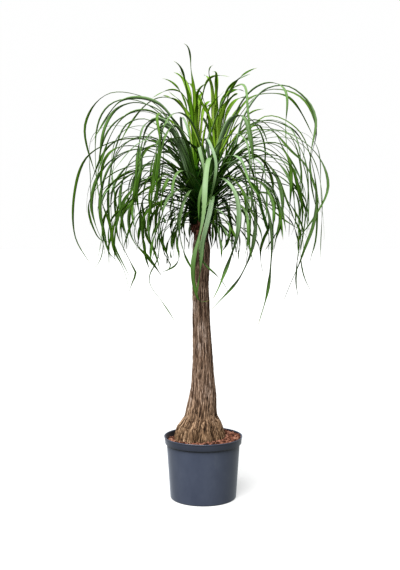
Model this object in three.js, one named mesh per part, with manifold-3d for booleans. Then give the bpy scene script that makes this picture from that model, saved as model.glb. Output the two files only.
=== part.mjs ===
// Potted ponytail palm: a round nursery pot with soil and a bed of lava chips, and in it one bark-covered
// trunk with a swollen foot that carries two heads of long arching leaves.
// Millimetres, +Z up. The origin is the centre of the pot's flat underside.
import * as THREE from "three";
import { mergeVertices } from "three/addons/utils/BufferGeometryUtils.js";
import Module from "manifold-3d";

const wasm = await Module();
wasm.setup();

// ---- Driving dimensions ----
const ROUND_SIDES = 36; // sides of the pot, the soil, the chip bed and the trunk
const TOUCH_GAP = 0.3; // between two pieces that touch
const HOLE_GAP = 0.4; // between the trunk and the hole that it stands in

const POT_HEIGHT = 250;
const POT_FOOT_RADIUS = 132;
const POT_SHOULDER_RADIUS = 146;
const POT_SHOULDER_Z = 220; // the collar starts here
const POT_COLLAR_RADIUS = 154;
const POT_RIM_RADIUS = 156.5;
const POT_WALL = 2.4;
const POT_FLOOR = 3;
const POT_EDGE = 4; // bevel at the foot
const DRAIN_HOLES = 6;
const DRAIN_RADIUS = 7;
const DRAIN_CIRCLE = 104;

const SOIL_TOP = 214;
const CHIP_BED_TOP = 238;
const CHIP_BED_SAG = 5; // how much lower the bed is at the pot's wall
const CHIP_BED_TILT = [0.038, -0.02]; // the bed rises towards +X and towards the front
const CHIP_COUNT = 56;
const CHIP_RADII = [17, 13, 8];
const CHIP_RING = [86, 147]; // distance of the chips from the pot's axis

// Trunk: height, radius and sideways shift of its centre line.
const TRUNK_ROWS = [
  [150, 26, -12],
  [166, 56, -12],
  [190, 84, -12],
  [214, 97, -12],
  [238, 104, -13],
  [262, 99, -13],
  [286, 92, -13],
  [306, 81, -10],
  [330, 66, -9],
  [354, 61, -8],
  [400, 55, -3],
  [448, 49, 0],
  [496, 45, -1],
  [560, 40, -2],
  [637, 37, -5],
  [715, 35, -8],
  [790, 34, -9],
  [860, 33, -11],
  [930, 34, -9],
  [1000, 34, -8],
  [1062, 32, -9],
  [1072, 38, -10],
  [1094.7, 37, -10],
];
const BARK_RIDGES = 10;
const BARK_DEPTH = 1.8; // on the slim upper trunk
const BARK_DEPTH_FOOT = 4.5; // where the foot spreads over the chips
const LEAF_SCAR_Z = 1066; // the ragged collar of old leaf bases starts here

// Leaf heads: foot and tip of each head's core, and the direction that it faces, away from the other head.
const HEADS = [
  { name: "left", foot: [-18, 0, 1095], tip: [-28, 6, 1300], away: 180 },
  { name: "right", foot: [-2, 0, 1095], tip: [46, -8, 1290], away: 0 },
];
// Core of a head: share of its height, radius.
const CORE_ROWS = [
  [0, 36],
  [0.25, 38],
  [0.6, 31],
  [0.9, 20],
  [1, 14],
];
const CORE_SIDES = 10;
const ROOT_DEPTH = 6; // how far a leaf is sunk into the core
const HEAD_SEEDS = [58999, 92790];
const YOUNG_SEEDS = [7, 11];

// Tiers of leaves on a head, from the lowest up. height: share of the head's height; rise and hang: slope at
// the root and at the tip; bendAt and bendSpan: share of the length where the leaf bends over.
const TIERS = [
  {
    count: 13, height: [0.03, 0.26], rise: [-12, 30], length: [150, 320], width: [8, 11],
    bendAt: [0.35, 0.6], bendSpan: [0.45, 0.7], hang: [-115, -65], drift: 30, twist: 40,
    blunt: 0.5, segments: 4,
  },
  {
    count: 20, height: [0.14, 0.7], rise: [12, 60], length: [330, 620], width: [9, 13],
    bendAt: [0.38, 0.6], bendSpan: [0.35, 0.6], hang: [-115, -62], drift: 45, twist: 90,
    blunt: 0.1, segments: 5,
  },
  {
    count: 15, height: [0.36, 0.78], rise: [36, 74], length: [460, 760], width: [9, 14],
    bendAt: [0.38, 0.58], bendSpan: [0.25, 0.45], hang: [-118, -65], drift: 55, twist: 120,
    blunt: 0, segments: 7,
  },
  {
    count: 10, height: [0.7, 0.95], rise: [58, 78], length: [760, 1120], width: [7, 12],
    bendAt: [0.36, 0.54], bendSpan: [0.2, 0.35], hang: [-122, -68], drift: 55, twist: 130,
    blunt: 0, segments: 7,
  },
];
const YOUNG = {
  count: 12, rise: [78, 89], length: [320, 520], width: [9, 14], bendAt: [0.7, 0.95],
  bendSpan: [0.2, 0.3], hang: [-30, 30], drift: 20, twist: 50, segments: 4,
};
const YOUNG_BUD = { radius: 13, height: 34, neck: 7 };
const YOUNG_ROOT_RADIUS = 5;
const YOUNG_ROOT_Z = 10;

// Long leaves that set the outline of the crown, each through points laid by hand.
const LAID_SEGMENTS = 8;
const LAID_LEAVES = {
  left: [
    { height: 0.66, width: 11, twist: 100, through: [
      [-105, -20, 1350], [-215, -30, 1420], [-355, -40, 1410], [-455, -40, 1350], [-505, -35, 1210],
      [-500, -30, 1050], [-435, -20, 940],
    ] },
    { height: 0.7, width: 17, twist: 60, through: [
      [-80, -70, 1395], [-165, -130, 1490], [-220, -170, 1465], [-245, -190, 1350], [-245, -190, 1210],
    ] },
    { height: 0.62, width: 18, twist: 70, through: [
      [-75, -90, 1360], [-140, -150, 1460], [-205, -200, 1415], [-240, -215, 1280], [-260, -205, 1050],
    ] },
    { height: 0.74, width: 16, twist: 50, through: [
      [-60, -80, 1395], [-110, -140, 1465], [-150, -185, 1385], [-170, -200, 1245], [-205, -200, 1020],
    ] },
    { height: 0.42, width: 18, twist: 60, through: [
      [-65, -110, 1230], [-125, -180, 1200], [-170, -220, 1090], [-200, -210, 920],
    ] },
    { height: 0.5, width: 15, twist: 50, through: [
      [-70, -100, 1260], [-135, -165, 1240], [-190, -200, 1165], [-200, -200, 1035], [-165, -190, 925],
    ] },
    { height: 0.56, width: 9, twist: 90, through: [
      [-105, -60, 1240], [-165, -90, 1150], [-175, -85, 970], [-205, -80, 880], [-160, -80, 795],
      [-115, -70, 705],
    ] },
    { height: 0.46, width: 15, twist: 40, through: [
      [-50, -100, 1225], [-80, -145, 1155], [-90, -150, 1035], [-25, -130, 900],
    ] },
    { height: 0.8, width: 14, twist: 30, through: [
      [0, -60, 1340], [-15, -100, 1390], [0, -140, 1290], [-25, -140, 1090],
    ] },
    { height: 0.78, width: 11, twist: 90, through: [
      [-62, 14, 1340], [-110, 22, 1470], [-215, 20, 1585], [-370, 5, 1600], [-460, 0, 1480],
      [-420, 10, 1250],
    ] },
    { height: 0.82, width: 13, twist: 60, through: [
      [-56, -24, 1340], [-90, -55, 1455], [-180, -85, 1555], [-315, -110, 1560], [-425, -100, 1405],
    ] },
    { height: 0.6, width: 16, twist: 60, through: [
      [-130, -40, 1385], [-205, -60, 1430], [-290, -80, 1410], [-350, -95, 1320], [-385, -100, 1225],
      [-395, -100, 1130], [-380, -95, 1040], [-365, -90, 940],
    ] },
    { height: 0.5, width: 15, twist: 50, through: [
      [-150, 30, 1350], [-255, 60, 1390], [-355, 85, 1360], [-430, 100, 1275], [-455, 105, 1170],
      [-435, 100, 1085], [-400, 95, 1015], [-390, 90, 965],
    ] },
    { height: 0.66, width: 12, twist: 70, through: [
      [-140, 30, 1435], [-220, 60, 1510], [-305, 80, 1495], [-355, 95, 1395], [-375, 100, 1275],
      [-375, 100, 1130], [-365, 95, 1010], [-340, 90, 940], [-295, 80, 850],
    ] },
    { height: 0.56, width: 14, twist: 60, through: [
      [-120, -80, 1360], [-195, -110, 1390], [-265, -125, 1350], [-300, -130, 1265], [-315, -130, 1170],
      [-305, -125, 1075], [-290, -120, 1025], [-305, -118, 990],
    ] },
    { height: 0.4, width: 10, twist: 60, through: [
      [-130, 20, 1300], [-205, 30, 1310], [-260, 40, 1250], [-290, 45, 1170], [-295, 45, 1090],
      [-275, 45, 1025], [-230, 40, 965], [-170, 35, 890],
    ] },
    { height: 0.46, width: 13, twist: 40, through: [
      [-105, -100, 1310], [-165, -130, 1320], [-215, -145, 1260], [-230, -150, 1175], [-220, -150, 1105],
      [-230, -150, 1025],
    ] },
    { height: 0.7, width: 8, twist: 60, through: [
      [-100, 25, 1355], [-140, 40, 1470], [-190, 50, 1525], [-255, 60, 1540], [-325, 70, 1520],
      [-380, 75, 1470], [-410, 75, 1395], [-420, 75, 1290], [-430, 75, 1170],
    ] },
    { height: 0.75, width: 9, twist: 50, through: [
      [-90, -20, 1345], [-150, -40, 1400], [-215, -55, 1425], [-285, -65, 1430], [-350, -70, 1405],
      [-390, -75, 1360], [-420, -75, 1285], [-440, -75, 1220], [-445, -75, 1140],
    ] },
    { height: 0.7, width: 11, twist: 70, through: [
      [-95, 40, 1330], [-160, 80, 1380], [-235, 100, 1400], [-305, 115, 1385], [-360, 120, 1345],
      [-390, 120, 1300], [-415, 120, 1240], [-435, 120, 1160],
    ] },
    { height: 0.55, width: 7, twist: 60, through: [
      [-100, 30, 1260], [-175, 60, 1320], [-235, 80, 1315], [-290, 95, 1295], [-340, 105, 1260],
      [-385, 110, 1210], [-410, 110, 1145],
    ] },
    { height: 0.8, width: 18, twist: 30, through: [
      [-65, -50, 1365], [-120, -90, 1455], [-165, -120, 1490], [-205, -140, 1465], [-230, -150, 1385],
      [-245, -155, 1280], [-255, -155, 1215], [-280, -150, 1140],
    ] },
    { height: 0.65, width: 11, twist: 40, through: [
      [-70, -40, 1315], [-115, -80, 1390], [-145, -105, 1430], [-175, -130, 1375], [-195, -140, 1300],
      [-200, -145, 1225], [-200, -145, 1155],
    ] },
    { height: 0.6, width: 15, twist: 30, through: [
      [-60, -60, 1295], [-90, -100, 1380], [-125, -130, 1415], [-155, -155, 1370], [-165, -165, 1290],
      [-180, -170, 1225], [-205, -170, 1140],
    ] },
  ],
  right: [
    { height: 0.6, width: 22, twist: 20, through: [
      [35, -90, 1340], [20, -150, 1335], [0, -225, 1155], [-30, -220, 955], [-15, -195, 800],
      [30, -190, 800],
    ] },
    { height: 0.4, width: 19, twist: 25, through: [
      [35, -110, 1200], [15, -160, 1105], [-15, -155, 930], [-20, -140, 805],
    ] },
    { height: 0.72, width: 13, twist: 60, through: [
      [20, -60, 1370], [15, -100, 1420], [45, -130, 1320], [30, -130, 1195], [-40, -125, 1115],
    ] },
    { height: 0.74, width: 20, twist: 40, through: [
      [60, -80, 1395], [105, -135, 1490], [145, -180, 1495], [180, -200, 1360], [210, -195, 1170],
    ] },
    { height: 0.52, width: 19, twist: 30, through: [
      [65, -120, 1270], [115, -200, 1215], [125, -205, 1045], [65, -190, 885], [35, -180, 810],
    ] },
    { height: 0.58, width: 15, twist: 60, through: [
      [95, -70, 1280], [165, -115, 1240], [195, -130, 1090], [150, -120, 910], [30, -100, 760],
    ] },
    { height: 0.5, width: 17, twist: 80, through: [
      [110, -40, 1260], [200, -75, 1240], [255, -90, 1090], [255, -90, 860], [210, -80, 705],
    ] },
    { height: 0.62, width: 18, twist: 50, through: [
      [110, -30, 1330], [210, -60, 1355], [285, -90, 1265], [295, -90, 1105], [240, -80, 990],
    ] },
    { height: 0.66, width: 12, twist: 90, through: [
      [130, 20, 1385], [280, 20, 1465], [425, 5, 1390], [485, 0, 1250], [445, 5, 1130],
      [370, 10, 1010],
    ] },
    { height: 0.7, width: 12, twist: 70, through: [
      [86, -4, 1330], [130, 0, 1500], [245, -5, 1615], [375, -15, 1585], [435, -20, 1465], [420, -15, 1325],
      [455, -10, 1125],
    ] },
    { height: 0.74, width: 12, twist: 80, through: [
      [80, 14, 1330], [108, 26, 1460], [190, 40, 1595], [330, 50, 1600], [435, 45, 1435],
    ] },
    { height: 0.64, width: 14, twist: 90, through: [
      [135, -60, 1370], [290, -95, 1400], [415, -95, 1270], [435, -95, 1170], [425, -92, 1080],
      [395, -88, 1005], [365, -84, 935], [330, -80, 865], [300, -76, 790],
    ] },
    { height: 0.5, width: 13, twist: 40, through: [
      [85, -60, 1325], [140, -90, 1305], [185, -110, 1225], [200, -115, 1135], [195, -115, 1055],
      [180, -112, 960], [125, -105, 875],
    ] },
    { height: 0.45, width: 15, twist: 50, through: [
      [70, -70, 1225], [130, -110, 1265], [185, -130, 1265], [235, -145, 1240], [270, -150, 1195],
      [290, -150, 1135], [280, -148, 1065], [265, -145, 990],
    ] },
    { height: 0.58, width: 10, twist: 80, through: [
      [105, 40, 1360], [210, 70, 1330], [300, 85, 1240], [365, 90, 1150], [400, 90, 1070],
      [390, 88, 1005], [380, 85, 950],
    ] },
    { height: 0.55, width: 11, twist: 60, through: [
      [75, 40, 1270], [140, 70, 1320], [215, 90, 1325], [285, 105, 1315], [345, 115, 1275],
      [395, 120, 1205], [425, 120, 1125], [430, 118, 1055],
    ] },
    { height: 0.56, width: 11, twist: 60, through: [
      [95, -25, 1320], [130, -30, 1430], [175, -35, 1490], [225, -40, 1490], [285, -50, 1440],
      [340, -60, 1380], [395, -65, 1320], [425, -65, 1245], [445, -65, 1170],
    ] },
    { height: 0.6, width: 9, twist: 70, through: [
      [90, 50, 1335], [145, 60, 1445], [200, 68, 1495], [260, 75, 1510], [320, 85, 1495], [370, 90, 1460],
      [400, 90, 1400], [395, 90, 1340],
    ] },
    { height: 0.6, width: 13, twist: 40, through: [
      [70, -60, 1285], [135, -90, 1340], [195, -110, 1375], [240, -125, 1360], [285, -135, 1320],
      [320, -140, 1275], [340, -140, 1215], [350, -138, 1140],
    ] },
    { height: 0.8, width: 9, twist: 70, through: [
      [85, 60, 1390], [150, 90, 1450], [225, 110, 1475], [285, 120, 1465], [325, 130, 1390],
      [380, 135, 1310], [410, 135, 1245], [415, 132, 1160],
    ] },
    { height: 0.5, width: 14, twist: 60, through: [
      [110, -60, 1350], [160, -60, 1515], [235, -55, 1610], [320, -45, 1625], [395, -35, 1570],
      [430, -35, 1495], [425, -35, 1390], [425, -35, 1315], [445, -35, 1220], [450, -35, 1140],
    ] },
  ],
};

const GOLDEN = 0.6180339887498949;
const PATH_STEPS = 40; // points along a leaf's centre line
const OPEN_ARC = 250; // degrees round a head that upper leaves spread over
const SWAY = 14; // waviness of a hanging leaf, in degrees
const FRONT_TRIM = 0.42; // leaves that would hang in front of the trunk are shorter by up to this share
const FRONT_TURN = { turn: 30, width: 40 }; // and are turned aside, in degrees
const CROWN_AXIS_X = -10;
const CROWN_REACH = 500; // leaves don't hang further out than this
const SMALLEST_FACET = 0.05; // slivers where blades cross are cleared below this
const BLADE_KEEL = 2; // depth of a blade's keel under its edges

const finishes = {
  pot: new THREE.MeshStandardMaterial({ color: 0x4b5563, roughness: 0.55 }),
  soil: new THREE.MeshStandardMaterial({ color: 0x2e221a, roughness: 1 }),
  chips: new THREE.MeshStandardMaterial({ color: 0x8a5a48, roughness: 0.95 }),
  bark: new THREE.MeshStandardMaterial({ color: 0x7a6656, roughness: 0.95 }),
  leaf: new THREE.MeshStandardMaterial({ color: 0x3c6128, roughness: 0.5, side: THREE.DoubleSide }),
  young: new THREE.MeshStandardMaterial({ color: 0x7f9f45, roughness: 0.5, side: THREE.DoubleSide }),
};

// ---- Small helpers ----
const radians = THREE.MathUtils.degToRad;
const between = ([low, high], share) => low + (high - low) * share;
const largerFirst = (a, b) => b.volume() - a.volume();
const largestBody = (solid) => solid.decompose().sort(largerFirst)[0];

// Seeded draws between 0 and 1.
function drawsFrom(seed) {
  let state = seed;
  return () => {
    state = (state * 16807) % 2147483647;
    return state / 2147483647;
  };
}

// Value in a column of a table at a key, straight between its rows.
function lookUp(rows, key, column = 1) {
  const after = Math.max(1, rows.findIndex((row) => row[0] >= key));
  const [low, high] = key > rows.at(-1)[0] ? rows.slice(-2) : [rows[after - 1], rows[after]];
  return low[column] + ((high[column] - low[column]) * (key - low[0])) / (high[0] - low[0]);
}

function solidFrom(positions, triangles) {
  return new wasm.Manifold(
    new wasm.Mesh({
      numProp: 3,
      vertProperties: new Float32Array(positions),
      triVerts: new Uint32Array(triangles),
    }),
  );
}

function solidOf(geometry) {
  geometry.deleteAttribute("normal");
  geometry.deleteAttribute("uv");
  const merged = mergeVertices(geometry, 1e-3);
  return solidFrom(merged.attributes.position.array, merged.index.array);
}

function meshOf(solid, name, finish) {
  const { vertProperties, triVerts } = solid.getMesh();
  const geometry = new THREE.BufferGeometry();
  geometry.setAttribute("position", new THREE.BufferAttribute(new Float32Array(vertProperties), 3));
  geometry.setIndex(new THREE.BufferAttribute(new Uint32Array(triVerts), 1));
  geometry.computeVertexNormals();
  const mesh = new THREE.Mesh(geometry, finish);
  mesh.name = name;
  return mesh;
}

// A solid turned round the Z axis from [radius, z] points.
function turned(profile, sides = ROUND_SIDES) {
  const points = profile.map(([radius, z]) => new THREE.Vector2(radius, z));
  return solidOf(new THREE.LatheGeometry(points, sides).rotateX(Math.PI / 2));
}

// A closed tube of rings, each an array of as many points, from the lowest ring up.
function stackedRings(rings) {
  const sides = rings[0].length;
  const positions = rings.flat(2);
  const triangles = [];
  for (let row = 0; row + 1 < rings.length; row += 1) {
    for (let side = 0; side < sides; side += 1) {
      const next = (side + 1) % sides;
      const low = row * sides;
      const high = low + sides;
      triangles.push(low + side, low + next, high + next);
      triangles.push(low + side, high + next, high + side);
    }
  }
  const top = (rings.length - 1) * sides;
  for (let side = 1; side + 1 < sides; side += 1) {
    triangles.push(0, side + 1, side);
    triangles.push(top, top + side, top + side + 1);
  }
  return solidFrom(positions, triangles);
}

// ---- Pot, soil and chip bed ----
// Inside of the pot: height, radius.
const POT_INSIDE = [
  [POT_FLOOR, POT_FOOT_RADIUS - POT_WALL - POT_EDGE],
  [POT_FLOOR + POT_EDGE / 2, POT_FOOT_RADIUS - POT_WALL],
  [POT_SHOULDER_Z + POT_WALL, POT_SHOULDER_RADIUS - POT_WALL],
  [POT_SHOULDER_Z + 2.4 * POT_WALL, POT_COLLAR_RADIUS - 1.6 * POT_WALL],
  [POT_HEIGHT - 1.6 * POT_WALL, POT_COLLAR_RADIUS - 0.6 * POT_WALL],
];

function makePot() {
  const outside = [
    [0, 0],
    [POT_FOOT_RADIUS - POT_EDGE, 0],
    [POT_FOOT_RADIUS, POT_EDGE],
    [POT_SHOULDER_RADIUS, POT_SHOULDER_Z],
    [POT_COLLAR_RADIUS - 1.5, POT_SHOULDER_Z + 3],
    [POT_COLLAR_RADIUS + 1, POT_HEIGHT - 3],
    [POT_RIM_RADIUS, POT_HEIGHT - 2],
    [POT_RIM_RADIUS, POT_HEIGHT],
    [POT_RIM_RADIUS - 3, POT_HEIGHT],
  ];
  const inside = POT_INSIDE.map(([z, radius]) => [radius, z]).reverse();
  const shell = turned([...outside, ...inside, [0, POT_FLOOR]]);
  const drains = [];
  for (let i = 0; i < DRAIN_HOLES; i += 1) {
    const angle = (2 * Math.PI * (i + 0.5)) / DRAIN_HOLES;
    const drain = new THREE.CylinderGeometry(DRAIN_RADIUS, DRAIN_RADIUS, 4 * POT_FLOOR, 8);
    drain.rotateX(Math.PI / 2);
    drain.translate(DRAIN_CIRCLE * Math.cos(angle), DRAIN_CIRCLE * Math.sin(angle), 0);
    drains.push(solidOf(drain));
  }
  return shell.subtract(wasm.Manifold.union(drains));
}

// Profile of what fills the pot from one height to another, clear of its wall.
function filling(bottom, top) {
  const walls = POT_INSIDE.filter(([z]) => z + TOUCH_GAP > bottom && z + HOLE_GAP < top);
  const steps = walls.map(([z, radius]) => [radius - TOUCH_GAP, z + HOLE_GAP]);
  const low = steps[0]?.[1] === bottom ? [] : [[lookUp(POT_INSIDE, bottom) - TOUCH_GAP, bottom]];
  return [[0, bottom], ...low, ...steps, [lookUp(POT_INSIDE, top - HOLE_GAP) - TOUCH_GAP, top]];
}

function makeSoil(socket) {
  const bottom = POT_FLOOR + HOLE_GAP;
  return turned([...filling(bottom, SOIL_TOP), [0, SOIL_TOP]]).subtract(socket);
}

const chipBedRise = (x, y) => CHIP_BED_TILT[0] * x + CHIP_BED_TILT[1] * y;
const chipBedTop = (x, y) =>
  CHIP_BED_TOP - (CHIP_BED_SAG * Math.hypot(x, y)) / POT_SHOULDER_RADIUS + chipBedRise(x, y);

// A lava chip: an eight-faced stone, turned and tipped.
function makeChip(x, y, z, draw) {
  const stone = new THREE.OctahedronGeometry(1);
  const size = 0.8 + 0.45 * draw();
  stone.scale(...CHIP_RADII.map((radius) => radius * size));
  stone.rotateX(0.6 * (draw() - 0.5));
  stone.rotateY(0.6 * (draw() - 0.5));
  stone.rotateZ(Math.PI * draw());
  stone.translate(x, y, z);
  return solidOf(stone);
}

function makeChipBed(socket) {
  const draw = drawsFrom(5);
  const profile = filling(SOIL_TOP + TOUCH_GAP, CHIP_BED_TOP - CHIP_BED_SAG);
  const bed = turned([...profile, [0, CHIP_BED_TOP]]).warp((point) => {
    if (point[2] > POT_SHOULDER_Z + 3 * POT_WALL) point[2] += chipBedRise(point[0], point[1]);
  });
  const chips = [];
  for (let i = 0; i < CHIP_COUNT; i += 1) {
    const area = (i + 0.5) / CHIP_COUNT;
    const distance = Math.sqrt(between([CHIP_RING[0] ** 2, CHIP_RING[1] ** 2], area));
    const angle = 2 * Math.PI * GOLDEN * i;
    const x = distance * Math.cos(angle);
    const y = distance * Math.sin(angle);
    chips.push(makeChip(x, y, chipBedTop(x, y) + 1.5 * draw(), draw));
  }
  const pile = wasm.Manifold.union([bed, ...chips]);
  const room = turned([...filling(SOIL_TOP + TOUCH_GAP, POT_HEIGHT), [0, POT_HEIGHT]]);
  return largestBody(pile.intersect(room).subtract(socket));
}

// ---- Trunk ----
// Bark ridges run up the trunk and wander a little; the buried foot is smooth.
function barkRelief(angle, z) {
  if (z <= SOIL_TOP) return 0;
  const foot = THREE.MathUtils.clamp((360 - z) / 100, 0, 1);
  const depth = between([BARK_DEPTH, BARK_DEPTH_FOOT], foot);
  const scars = z > LEAF_SCAR_Z ? 2 * Math.cos(13 * angle + z) : 0;
  return depth * Math.cos(BARK_RIDGES * angle + 1.6 * Math.sin(z / 75) + z / 170) + scars;
}

function makeTrunk(grown = 0) {
  const rings = TRUNK_ROWS.map(([z, radius, shift], row) => {
    const height = row === 0 ? z - grown : z;
    return Array.from({ length: ROUND_SIDES }, (_, side) => {
      const angle = (2 * Math.PI * side) / ROUND_SIDES;
      const distance = radius + barkRelief(angle, z) + grown;
      return [shift + distance * Math.cos(angle), distance * Math.sin(angle), height];
    });
  });
  return stackedRings(rings);
}

// ---- Leaves ----
const axisPoint = (head, share) =>
  new THREE.Vector3(...head.foot).lerp(new THREE.Vector3(...head.tip), share);

function makeCore(head) {
  const rings = CORE_ROWS.map(([share, radius]) => {
    const centre = axisPoint(head, share);
    return Array.from({ length: CORE_SIDES }, (_, side) => {
      const angle = (2 * Math.PI * side) / CORE_SIDES;
      return [centre.x + radius * Math.cos(angle), centre.y + radius * Math.sin(angle), centre.z];
    });
  });
  return stackedRings(rings);
}

// Share of its full bend that a leaf has reached at a share of its length.
function bentOver(along, bendAt, bendSpan) {
  const curve = (x) => 1 / (1 + Math.exp((-2.2 * (x - bendAt)) / bendSpan));
  return (curve(along) - curve(0)) / (curve(1) - curve(0));
}

// Centre line of a leaf that rises from its root, bends over and hangs.
function leafPath(root, leaf) {
  const points = [root.clone()];
  const point = root.clone();
  const step = leaf.length / PATH_STEPS;
  for (let i = 0; i < PATH_STEPS; i += 1) {
    const along = (i + 0.5) / PATH_STEPS;
    const bent = bentOver(along, leaf.bendAt, leaf.bendSpan);
    const sway = SWAY * Math.sin(2 * Math.PI * (1.3 * along + leaf.phase)) * bent;
    const pitch = radians(leaf.rise + (leaf.hang - leaf.rise) * bent + sway);
    const heading = radians(leaf.azimuth + 1.6 * leaf.drift * along * along + 2 * sway * bent);
    point.x += step * Math.cos(pitch) * Math.cos(heading);
    point.y += step * Math.cos(pitch) * Math.sin(heading);
    point.z += step * Math.sin(pitch);
    points.push(point.clone());
  }
  for (const p of points) {
    const out = Math.hypot(p.x - CROWN_AXIS_X, p.y);
    const pull = (1 + (out / CROWN_REACH) ** 6) ** (-1 / 6);
    p.x = CROWN_AXIS_X + (p.x - CROWN_AXIS_X) * pull;
    p.y *= pull;
  }
  return points;
}

// Width direction and upward normal at each point of a centre line, turned slowly along it by the twist.
function bladeFrames(path, twist) {
  const across = new THREE.Vector3();
  return path.map((point, i) => {
    const ahead = path[Math.min(i + 1, path.length - 1)];
    const behind = path[Math.max(i - 1, 0)];
    const along = ahead.clone().sub(behind).normalize();
    if (i === 0) across.set(-along.y, along.x, 0);
    across.addScaledVector(along, -across.dot(along)).normalize();
    const up = along.clone().cross(across);
    const share = THREE.MathUtils.clamp((i / (path.length - 1) - 0.3) / 0.6, 0, 1);
    const turn = radians(twist) * share ** 1.5;
    return {
      across: across.clone().multiplyScalar(Math.cos(turn)).addScaledVector(up, Math.sin(turn)),
      up: up.multiplyScalar(Math.cos(turn)).addScaledVector(across, -Math.sin(turn)),
    };
  });
}

// Share of its full width that a leaf has at a share of its length.
function widthShare(along, blunt) {
  const root = 0.72 + 0.28 * Math.min(1, along / 0.35);
  const taper = (1 - Math.max(0, (along - 0.5) / 0.5) ** 2.6) ** 0.9;
  return root * (blunt ? Math.max(taper, 0.6) : taper);
}

// One blade with a three-sided section, two edges and a keel below. It ends in a point, or in a cut end.
// Each stretch is split along the diagonal that keeps its upper and lower faces apart when it twists.
function makeBlade(path, { width, twist, blunt, segments }) {
  const frames = bladeFrames(path, twist);
  const positions = [];
  const triangles = [];
  const stations = blunt ? segments + 1 : segments;
  for (let k = 0; k < stations; k += 1) {
    const i = Math.round((k * PATH_STEPS) / segments);
    const half = 0.5 * width * widthShare(k / segments, blunt);
    const { across, up } = frames[i];
    positions.push(...path[i].clone().addScaledVector(across, half));
    positions.push(...path[i].clone().addScaledVector(across, -half));
    positions.push(...path[i].clone().addScaledVector(up, -BLADE_KEEL));
  }
  triangles.push(0, 2, 1);
  for (let k = 0; k + 1 < stations; k += 1) {
    const [left, right, keel] = [3 * k, 3 * k + 1, 3 * k + 2];
    const [left2, right2, keel2] = [left + 3, right + 3, keel + 3];
    if (twist < 0) {
      triangles.push(left, right, right2, left, right2, left2);
      triangles.push(keel, left, left2, keel, left2, keel2);
      triangles.push(right, keel, keel2, right, keel2, right2);
    } else {
      triangles.push(left, right, left2, right, right2, left2);
      triangles.push(left, keel2, keel, left, left2, keel2);
      triangles.push(keel, right2, right, keel, keel2, right2);
    }
  }
  const last = 3 * (stations - 1);
  if (blunt) {
    triangles.push(last, last + 1, last + 2);
  } else {
    positions.push(...path.at(-1));
    const point = last + 3;
    triangles.push(last, last + 1, point, last + 1, last + 2, point, last + 2, last, point);
  }
  return solidFrom(positions, triangles);
}

// Draws one leaf of a tier. The order of the draws fixes the leaf.
function drawLeaf(tier, share, azimuth, draw) {
  const leaf = {
    ...tier,
    azimuth,
    rise: between(tier.rise, 0.75 * share + 0.25 * draw()),
    length: between(tier.length, 0.45 * share + 0.55 * draw()),
    width: between(tier.width, draw()),
    bendAt: between(tier.bendAt, draw()),
    bendSpan: between(tier.bendSpan, draw()),
    hang: between(tier.hang, draw()),
    drift: between([-tier.drift, tier.drift], draw()),
    twist: between([-tier.twist, tier.twist], draw()),
    phase: draw(),
  };
  return { ...leaf, blunt: draw() < (tier.blunt ?? 0) };
}

// The azimuth of a leaf, turned away from the front if it is near it.
function turnedAside(azimuth) {
  const off = THREE.MathUtils.euclideanModulo(azimuth + 270, 360) - 180;
  return azimuth + Math.sign(off) * FRONT_TURN.turn * Math.exp(-((off / FRONT_TURN.width) ** 2));
}

function makeHead(head, seed) {
  const draw = drawsFrom(seed);
  const parts = [makeCore(head)];
  let number = 0;
  for (const tier of TIERS) {
    for (let i = 0; i < tier.count; i += 1) {
      number += 1;
      const share = (i + draw()) / tier.count;
      const height = between(tier.height, share);
      const arc = 360 - (360 - OPEN_ARC) * Math.min(1, 2 * height);
      const around = head.away + arc * (((number * GOLDEN) % 1) - 0.5) + 8 * (draw() - 0.5);
      const azimuth = turnedAside(around);
      const leaf = drawLeaf(tier, share, azimuth, draw);
      const [cos, sin] = [Math.cos(radians(azimuth)), Math.sin(radians(azimuth))];
      leaf.length *= 1 - FRONT_TRIM * Math.max(0, -sin) ** 6;
      const out = lookUp(CORE_ROWS, height) - ROOT_DEPTH;
      const root = axisPoint(head, height).add(new THREE.Vector3(out * cos, out * sin, 0));
      parts.push(makeBlade(leafPath(root, leaf), leaf));
    }
  }
  for (const leaf of LAID_LEAVES[head.name]) {
    parts.push(makeBlade(laidPath(head, leaf), { ...leaf, blunt: false, segments: LAID_SEGMENTS }));
  }
  return parts;
}

// A laid leaf starts on the axis of its head's core.
function laidPath(head, { height, through }) {
  const points = [axisPoint(head, height), ...through.map((point) => new THREE.Vector3(...point))];
  return new THREE.CatmullRomCurve3(points).getSpacedPoints(PATH_STEPS);
}

// Young leaves stand upright in a bud on the tip of a head and lean away from the other head.
function makeYoungLeaves(head, seed) {
  const draw = drawsFrom(seed);
  const [x, y, z] = head.tip;
  const { radius, height, neck } = YOUNG_BUD;
  const bud = new THREE.CylinderGeometry(neck, radius, height, CORE_SIDES).rotateX(Math.PI / 2);
  bud.translate(x, y, z + TOUCH_GAP + height / 2);
  const parts = [solidOf(bud)];
  for (let i = 0; i < YOUNG.count; i += 1) {
    const share = (i + draw()) / YOUNG.count;
    const azimuth = head.away + OPEN_ARC * (((i * GOLDEN) % 1) - 0.5);
    const leaf = drawLeaf(YOUNG, share, azimuth, draw);
    const root = new THREE.Vector3(
      x + YOUNG_ROOT_RADIUS * Math.cos(radians(azimuth)),
      y + YOUNG_ROOT_RADIUS * Math.sin(radians(azimuth)),
      z + YOUNG_ROOT_Z,
    );
    parts.push(makeBlade(leafPath(root, leaf), leaf));
  }
  return wasm.Manifold.union(parts);
}

// ---- The assembly ----
const socket = makeTrunk(HOLE_GAP);
const blades = HEADS.flatMap((head, i) => makeHead(head, HEAD_SEEDS[i]));
const crown = wasm.Manifold.union(blades).simplify(SMALLEST_FACET);

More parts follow.
